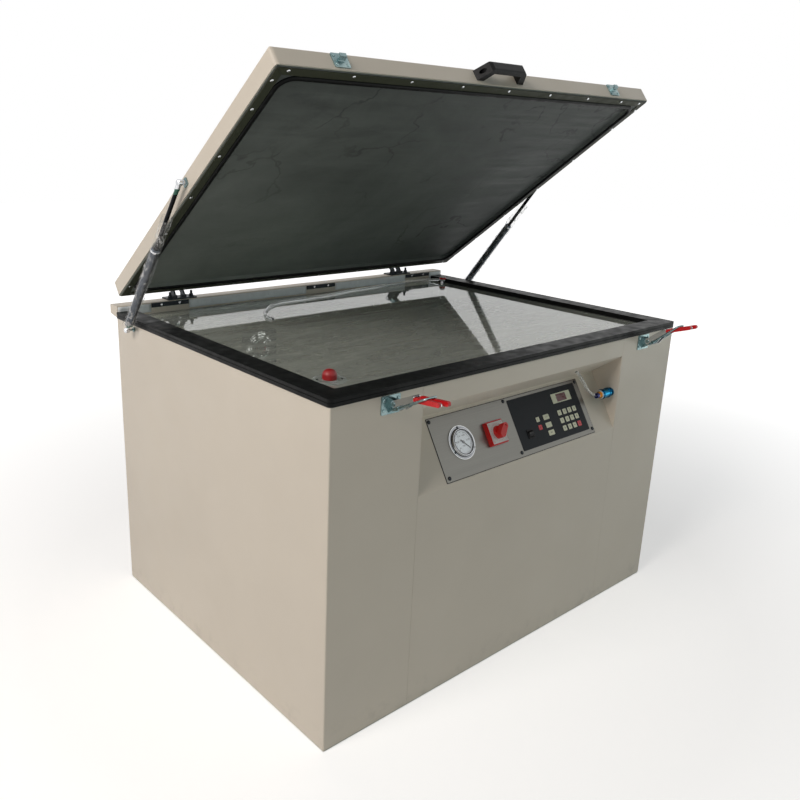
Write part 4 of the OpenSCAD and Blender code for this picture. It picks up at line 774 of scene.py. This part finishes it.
AIR_TUBE = [(244, -463, 769), (258, -468, 755), (277, -471, 731), (296, -473, 709),
            (316, -476, 693), (330, -479, 686), (337.4, -480, 685)]
HOSE_UP = GLASS_TOP + TUBE_D / 2 + 0.2
HOSE = [(x, y, HOSE_UP + lift) for x, y, lift in (
    (598, 434, 6.8), (584, 458, 4), (566, 484, 2), (535, 493, 0.8), (450, 491, 0), (313, 471, 0),
    (165, 456, 0), (78, 438, 0), (19, 431, 0), (-50, 424, 0), (-103, 422, 0), (-157, 416, 0),
    (-211, 389, 0), (-273, 328, 0), (-305, 280, 0), (-317, 246, 0), (-317, 222, 0))]


def add_hose(name, points):
    path = [p * MM for p in route(points, 4)]
    curve = bpy.data.curves.new(name, "CURVE")
    curve.dimensions = "3D"
    curve.bevel_depth = TUBE_D / 2 * MM
    curve.bevel_resolution = 5
    curve.use_fill_caps = True
    spline = curve.splines.new("POLY")
    spline.points.add(len(path) - 1)
    for point, place in zip(spline.points, path):
        point.co = (*place, 1)
    curve.materials.append(MATERIALS["clear_hose"])
    hose = bpy.data.objects.new(name, curve)
    bpy.context.scene.collection.objects.link(hose)
    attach(hose, "root")
    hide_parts("clear_tubes")


add_hose("air_tube", AIR_TUBE)
add_hose("glass_hose", HOSE)


# Control plate

SWITCH_AT = (-89.5, PLATE_S - 1)
SWITCH_PLATE_UP = 14.0
DISPLAY_AT = (220.5, PLATE_S - 43.5)
GAUGE_SWEEP = (225, -45)
SCALE_R = 28.0
TEN_MARK, FIVE_MARK, ONE_MARK = (5.2, 1.3), (3.8, 0.8), (2.6, 0.45)
DIAL_TEXT = 6.0
DIAL_TEXT_R = 18.6


def add_gauge_print():
    """Scale of the vacuum gauge: 50 divisions, bolder fives and tens, plain numbers."""
    marks = Solids()
    place = on_slope(*GAUGE_AT, DIAL_TOP)
    first, last = GAUGE_SWEEP
    for k in range(51):
        long, wide = TEN_MARK if k % 10 == 0 else FIVE_MARK if k % 5 == 0 else ONE_MARK
        turn = first + (last - first) * k / 50
        tick(marks, turn, SCALE_R, SCALE_R - long, wide, 0.06, place)
    for k, text in enumerate(("-0.1", "-0.08", "-0.06", "-0.04", "-0.02", "0")):
        turn = first + (last - first) * k / 5
        lettering(marks, text, DIAL_TEXT, around(place, turn, DIAL_TEXT_R))
    lettering(marks, "MPa", DIAL_TEXT, around(place, -90, 10))
    marks.made("gauge_print", "label_ink", "root", None, None, "dial_white")


def add_switch_print():
    """Position marks on the switch plate: ticks and the figures 0 and 1."""
    marks = Solids()
    place = on_slope(*SWITCH_AT, PLATE_TOP + SWITCH_PLATE_UP)
    for turn, text in ((135, "0"), (45, "1"), (225, "0"), (315, "1")):
        lettering(marks, text, 6, around(place, turn, 33))
    for k in range(24):
        tick(marks, 15 * k, 24, 21.5, 0.6, 0.05, place)
    marks.made("switch_print", "switch_red", "root", None, None, "switch_white")


KEY_X = (189.5, 213, 235.5, 258)
KEY_S = (-1.3, 21.5, 44)
KEY_SIZE = (16.5, 15.6)
WIDE_KEY = (128, (25.5, 15.3))
SMALL_KEY = (91, (15, 14))
KEY_FACE = 0.35
KEY_DIGITS = "1234567890"


def add_keys():
    """Printed key faces on the membrane's embossed pads, slightly crowned, and their marks."""
    cream, red, ink = Solids(), Solids(), Solids()

    def key(target, x, s, size, text, high):
        outline = rounded(size[0] - 0.6, size[1] - 0.6, 1.8)
        place = on_slope(x, PLATE_S + s, KEY_TOP)
        target.slab(outline, -0.02, KEY_FACE, place, 0.3)
        lettering(ink, text, high, around(place, 0, 0, KEY_FACE), 0.04)

    for i, x in enumerate(KEY_X):
        for j, s in enumerate(KEY_S):
            last = (i, j) == (3, 2)
            number = j * 4 + i
            text = "C" if last else KEY_DIGITS[number] if number < len(KEY_DIGITS) else "+"
            key(red if last else cream, x, s, KEY_SIZE, text, 9)
    for s, text in zip(KEY_S, ("+ +", "- -", "0.0")):
        key(cream, WIDE_KEY[0], s, WIDE_KEY[1], text, 7)
    for s, target, text in zip(KEY_S, (cream, red), ("1", "0")):
        key(target, SMALL_KEY[0], s, SMALL_KEY[1], text, 8)
    cream.made("key_faces", "key_cream", "root", None, 30, "keypad_film")
    red.made("key_faces_red", "key_red", "root", None, 30, "keypad_film")
    ink.made("key_marks", "ink", "root", None, None, "keypad_film")


def add_display_frame():
    """Cream surround of the display, open over its red window."""
    surround = Solids().border(rounded(85, 28, 1.5), rounded(44, 22, 0.8), 0.0, 0.5,
                               on_slope(*DISPLAY_AT, PAD_TOP))
    surround.made("display_surround", "key_cream", "root", None, 30, "keypad_film")


add_gauge_print()
add_switch_print()
add_keys()
add_display_frame()


# Corners of the glass: clear flange with its red cap, and the hose fitting

PORT = (-559, -356)
FLANGE_FACE = 2.1
CAP_R, CAP_WALL, CAP_TOP = 17.0, 12.6, 27.0
CAP_RIB = 0.5
FITTING = (606, 421)
FITTING_SPIGOT_UP = 11.0
BODY_RIB = 0.9


def on_glass(spot):
    """Frame on the glass, in metres, at a point given in millimetres."""
    return Matrix.Translation(Vector((*spot, GLASS_TOP)) * MM)


def ribbed(profile, steps, is_cut):
    """Rings of [radius, height, rib depth] points, cut in at some of their steps."""
    rings = []
    for radius, z, depth in profile:
        ring = []
        for k, (x, y, _) in enumerate(circle(1.0, z, steps)):
            r = radius - depth * is_cut(k)
            ring.append((r * x, r * y, z))
        rings.append(ring)
    return rings


def add_port():
    place = on_glass(PORT)
    flange = Solids()
    flange.revolved([(0, 0), (39.5, 0), (40, 0.5), (40, 1.2), (39, 1.8), (35, 2.0), (34, 2.6),
                     (31, 2.6), (30, FLANGE_FACE), (24, FLANGE_FACE), (22, 3.4), (19, 3.4),
                     (18, 2.5), (0, 2.5)], place, 64)
    clear = flange.made("port_flange", "clear_hose", "root", None, 30)

    dome = [math.radians(a) for a in range(15, 91, 15)]
    profile = [(CAP_R - 1, 2.6, 0), (CAP_R, 3.4, CAP_RIB), (CAP_R, CAP_WALL, 0)]
    profile += [(max(CAP_R * math.cos(a), 0.01),
                 CAP_WALL + (CAP_TOP - CAP_WALL) * math.sin(a), 0) for a in dome]
    cap = Solids().rings(ribbed(profile, 60, lambda k: k % 2 == 1), place)
    red = cap.made("port_cap", "cap_red", "root", None, 40, "switch_red")
    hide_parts("vacuum_ports")
    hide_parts("vacuum_ports")

    bolts = Solids()
    for turn in (150, 330):
        bolts.revolved([(0, 0), (2.4, 0), (2.4, 1.0), (1.6, 1.5), (0, 1.6)],
                       around(place, turn, 29, FLANGE_FACE), 20)
    bolts.made("port_screws", "needle_black", "root", None, 30)


def add_fitting():
    """Hose fitting in the rear corner: ribbed white body, red collar, brass foot and spigot."""
    place = on_glass(FITTING)

    def section(solids, profile, rib):
        solids.rings(ribbed([(r, z, rib) for r, z in profile], 36, lambda k: k % 3 == 0), place)

    white = Solids()
    section(white, [(8, 6.5), (9.6, 7.2), (9.8, 13.8)], BODY_RIB)
    section(white, [(9.8, 20.2), (9.8, 25), (9, 26), (4, 26.1)], BODY_RIB)
    body = white.made("fitting_body", "switch_white", "root", None, 30, "switch_white")
    collar = Solids()
    section(collar, [(11, 13.6), (12, 14.2), (12, 19.8), (11, 20.4)], 0.5)
    red = collar.made("fitting_collar", "switch_red", "root", None, 30)

    foot = Solids()
    foot.revolved([(0, 0), (9, 0), (9, 2.4), (7.5, 3), (7.5, 6.6), (0, 6.6)], place, 6)
    start = Vector(HOSE[0]) - Vector((*FITTING, GLASS_TOP))
    aim = math.atan2(start.y, start.x)
    turn = (around(place, 0, 0, FITTING_SPIGOT_UP) @ Matrix.Rotation(aim, 4, "Z")
            @ Matrix.Rotation(math.pi / 2, 4, "Y"))
    reach = math.hypot(start.x, start.y) - 0.1
    foot.revolved([(0, 0), (3.5, 0), (3.5, reach - 4), (5, reach - 4), (5, reach), (0, reach)],
                  turn, 24)
    brass = foot.made("fitting_foot", "gauge_metal", "root", None, 30)
    for part in (body, red, brass):
        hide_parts("vacuum_ports")


add_port()
add_fitting()


# Struts: protective film on the tubes and a bright ring at their tops

STRUT_LOW = (697, 392, 840)
STRUT_WAY = Vector((0, -0.617982, 0.786192))
TUBE_R = 11.5
TUBE_TOP = 322
RING_LOW, RING_HIGH, RING_THICK = TUBE_TOP - 10, TUBE_TOP - 4, 0.9
FILM_FROM, FILM_TO = 22, 428
FILM_ROW = 6
FILM_AROUND = 40
FILM_THICK = 0.2


def strut_place(side):
    """Frame on a strut at rest, in metres: its Z runs up the strut from the lower ball."""
    axes = Matrix((Vector((1, 0, 0)), STRUT_WAY.cross(Vector((1, 0, 0))), STRUT_WAY))
    low = Vector((side * STRUT_LOW[0], STRUT_LOW[1], STRUT_LOW[2])) * MM
    return Matrix.Translation(low) @ axes.transposed().to_4x4()


def film_radius(s, angle, seed):
    """Crumpled film: close round the tube, loose and flattened above it, ragged at its ends."""
    above = smooth_step((s - TUBE_TOP + 14) / 40)
    wide, deep = 13.6 - 3.4 * above, 14.6 + 1.2 * above
    oval = wide * deep / math.hypot(deep * math.cos(angle), wide * math.sin(angle))
    ends = max(smooth_step((60 - s) / 40), smooth_step((s - 385) / 45))
    coarse = Vector((math.cos(angle) * 0.9, math.sin(angle) * 0.9, s / 46 + seed))
    fine = Vector((math.cos(angle) * 2.2, math.sin(angle) * 2.2, s / 15 + seed))
    folds = abs(noise.noise(coarse)) * 3.4 + abs(noise.noise(fine)) * (1.6 + 2.2 * ends)
    return oval + folds + 2.2 * ends * abs(math.sin(3 * angle + seed + s / 22))


def add_film(name, side, body, seed):
    rows = round((FILM_TO - FILM_FROM) / FILM_ROW)
    n = FILM_AROUND
    verts = []
    for j in range(rows + 1):
        s = FILM_FROM + (FILM_TO - FILM_FROM) * j / rows
        for a in (2 * math.pi * k / n for k in range(n)):
            r = film_radius(s, a, seed)
            ragged = noise.noise(Vector((math.cos(a), math.sin(a), seed))) if j in (0, rows) else 0
            verts.append((r * math.cos(a), r * math.sin(a), s + 5 * ragged))
    faces = [(j * n + k, j * n + (k + 1) % n, (j + 1) * n + (k + 1) % n, (j + 1) * n + k)
             for j in range(rows) for k in range(n)]
    film = piece(name, verts, faces, "film", body, strut_place(side), 60)
    thicken(film, FILM_THICK, 1)


def add_strut_ring(name, side, body):
    ring = Solids().hoop([(TUBE_R + 0.1, RING_LOW), (TUBE_R + RING_THICK, RING_LOW + 0.6),
                          (TUBE_R + RING_THICK, RING_HIGH - 0.6), (TUBE_R + 0.1, RING_HIGH)],
                         steps=40)
    ring.made(name, "chrome", body, strut_place(side), 30, "chrome")


for strut_side, word in ((-1, "left"), (1, "right")):
    add_strut_ring("strut_ring_" + word, strut_side, "strut_tube_" + word)
    add_film("strut_film_" + word, strut_side, "strut_tube_" + word, 3.7 + 2 * strut_side)


# Rear rail: leftover protective film

RAIL_FACE = 500.0
RAIL_FILMS = ((-673, -569), (-441, 11), (139, 481), (609, 673))
RAIL_FILM_LOW, RAIL_FILM_HIGH = 857, 884
RAIL_FILM_THICK = 0.15


def add_rail_film(name, x0, x1, seed):
    """Pale film with a slightly wavy face and a torn lower edge."""
    across, up = max(6, round((x1 - x0) / 12)), 5
    high = RAIL_FILM_HIGH - RAIL_FILM_LOW
    verts = []
    for j in range(up + 1):
        for i in range(across + 1):
            x = x0 + (x1 - x0) * i / across
            z = RAIL_FILM_LOW + high * j / up
            if j == 0:
                z += 1.2 + 2.4 * abs(noise.noise(Vector((x / 40, seed, 0))))
            off = 0.5 + 0.8 * abs(noise.noise(Vector((x / 60, z / 18, seed)))) * (1 - j / up)
            verts.append((x, RAIL_FACE - off, z))
    n = across + 1
    faces = [(j * n + i, j * n + i + 1, (j + 1) * n + i + 1, (j + 1) * n + i)
             for j in range(up) for i in range(across)]
    film = piece(name, verts, faces, "pale_film", "root", None, 60)
    thicken(film, RAIL_FILM_THICK, 0)


for number, (film_from, film_to) in enumerate(RAIL_FILMS):
    add_rail_film("rail_film_%d" % (number + 1), film_from, film_to, 2.3 * number)


# Control plate: a dark border of painted shade in the gap round it, and the dark rims of its
# screws

PLATE_LEFT, PLATE_RIGHT, PLATE_TALL = -303, 313, 163
SCREW_AT = ((-297, -74), (-292, 72), (-17, -75), (-14, 70), (303, -74), (306, 70))


def add_plate_gap_shade():
    # Painted shade: a thin black border standing where the gap round the plate lies in shadow.
    wide = PLATE_RIGHT - PLATE_LEFT
    outer = rounded(wide + 3.2, PLATE_TALL + 3.2, 2.4)
    inner = rounded(wide + 0.2, PLATE_TALL + 0.2, 1.5)
    place = on_slope((PLATE_LEFT + PLATE_RIGHT) / 2, PLATE_S)
    edge = Solids().border(outer, inner, 0.02, 0.6, place)
    edge.made("plate_edge", "needle_black", "root", None, 30, "black_plastic")
    rims = Solids()
    for x, s in SCREW_AT:
        rims.hoop([(3.6, 0.02), (5.2, 0.02), (5.2, 0.9), (4.6, 1.5), (3.6, 1.7)],
                  on_slope(x, PLATE_S + s, PLATE_TOP), 28)
    rims.made("screw_rims", "needle_black", "root", None, 30, "black_plastic")


add_plate_gap_shade()


# Cooling fan: the bright ring of its guard and the label on its hub

FAN_AT = (-190, 501, 690)
GUARD_UP = 27.4
HUB_UP = 21.6
LABEL_R, LABEL_RIM_R = 12.4, 20


def add_fan_trim():
    place = Matrix.Translation(Vector(FAN_AT) * MM) @ Matrix.Rotation(math.pi / 2, 4, "X")
    ring = Solids().hoop([(29, GUARD_UP), (34.5, GUARD_UP), (34.5, GUARD_UP + 1.2),
                          (31.7, GUARD_UP + 2.2), (29, GUARD_UP + 1.2)], place, 56)
    ring.made("fan_ring", "chrome", "root", None, 30, "chrome")
    low, edge, middle = HUB_UP + 0.02, HUB_UP + 0.3, HUB_UP + 0.34
    label = Solids().revolved([(0, low), (LABEL_R, low), (LABEL_R, edge), (0, middle)], place, 40)
    label.made("fan_label", "switch_white", "fan_impeller", None, 30, "switch_white")
    inner = LABEL_R + 0.1
    rim = Solids().hoop([(inner, low), (LABEL_RIM_R, low), (LABEL_RIM_R, edge), (inner, middle)],
                        place, 56)
    rim.made("fan_label_rim", "switch_red", "fan_impeller", None, 30, "switch_red")


add_fan_trim()


# Stage: tones from 0 to 1, distances in metres

FLOOR_TONE = 0.86
FLOOR_HALF = 14.0
FLOOR_REACH = (1.1, 3.6)
FLOOR_GLOW = 0.5
FOOT_HALF = (0.674, 0.504)
WORLD_LIGHT = 0.15

# Name, place and target in metres, diameter, watts, colour
LIGHTS = (
    ("key", (-5.2, -0.6, 4.2), (0, 0, 0.7), 3.0, 196, (1.0, 0.94, 0.88)),
    ("fill", (1.0, -5.5, 1.3), (0, 0, 0.8), 3.0, 11, (0.6, 1.0, 0.9)),
    ("side", (4.4, -3.0, 0.6), (0.2, -0.4, 0.7), 1.6, 14, (0.9, 1.0, 0.96)),
)


def seen_rays(tree):
    """1 for rays of the camera, of reflections and of clear things, 0 for light that spreads."""
    rays = tree.nodes.new("ShaderNodeLightPath")
    seen = rays.outputs["Is Camera Ray"]
    for name in ("Is Glossy Ray", "Is Transmission Ray"):
        either = tree.nodes.new("ShaderNodeMath")
        either.operation = "MAXIMUM"
        tree.links.new(seen, either.inputs[0])
        tree.links.new(rays.outputs[name], either.inputs[1])
        seen = either.outputs[0]
    return seen


def add_stage():
    """Pale floor that keeps the object's shadow, dark under it and white far away."""
    shade = Shade("floor", (FLOOR_TONE, FLOOR_TONE, FLOOR_TONE, 1), 0.9)
    far = shade.node("ShaderNodeVectorMath", {0: shade.coords}, operation="LENGTH")
    glow = shade.spread(far.outputs["Value"], *FLOOR_REACH, FLOOR_GLOW, 1.0)
    beside = [shade.maths("GREATER_THAN", shade.maths("ABSOLUTE", shade.axis(name)), half)
              for name, half in zip("XY", FOOT_HALF)]
    glow = shade.maths("MULTIPLY", glow, shade.maths("MAXIMUM", *beside))
    shade.to("Emission Strength", shade.maths("MULTIPLY", glow, seen_rays(shade.tree)))
    shade.set("Emission Color", (1, 1, 1, 1))
    shade.set("Specular IOR Level", 0.0)
    mesh = bpy.data.meshes.new("floor")
    mesh.from_pydata([(-FLOOR_HALF, -FLOOR_HALF, 0), (FLOOR_HALF, -FLOOR_HALF, 0),
                      (FLOOR_HALF, FLOOR_HALF, 0), (-FLOOR_HALF, FLOOR_HALF, 0)], [],
                     [(0, 1, 2, 3)])
    mesh.materials.append(shade.material)
    floor = bpy.data.objects.new("floor", mesh)
    bpy.context.scene.collection.objects.link(floor)


def add_world():
    """White to the eye and in reflections, softer as a light."""
    world = bpy.data.worlds.new("world")
    bpy.context.scene.world = world
    world.use_nodes = True
    tree = world.node_tree
    back = tree.nodes["Background"]
    back.inputs["Color"].default_value = (1, 1, 1, 1)
    level = tree.nodes.new("ShaderNodeMapRange")
    level.inputs["To Min"].default_value = WORLD_LIGHT
    level.inputs["To Max"].default_value = 1.0
    tree.links.new(seen_rays(tree), level.inputs["Value"])
    tree.links.new(level.outputs["Result"], back.inputs["Strength"])


def add_area(name, place, target, size, power, color):
    data = bpy.data.lights.new(name, "AREA")
    data.shape, data.size, data.energy, data.color = "DISK", size, power, color
    lamp = bpy.data.objects.new(name, data)
    bpy.context.scene.collection.objects.link(lamp)
    lamp.location = place
    lamp.rotation_mode = "QUATERNION"
    lamp.rotation_quaternion = (Vector(target) - Vector(place)).to_track_quat("-Z", "Y")


add_stage()
add_world()
for light in LIGHTS:
    add_area(*light)

bpy.context.scene.view_settings.view_transform = "Standard"
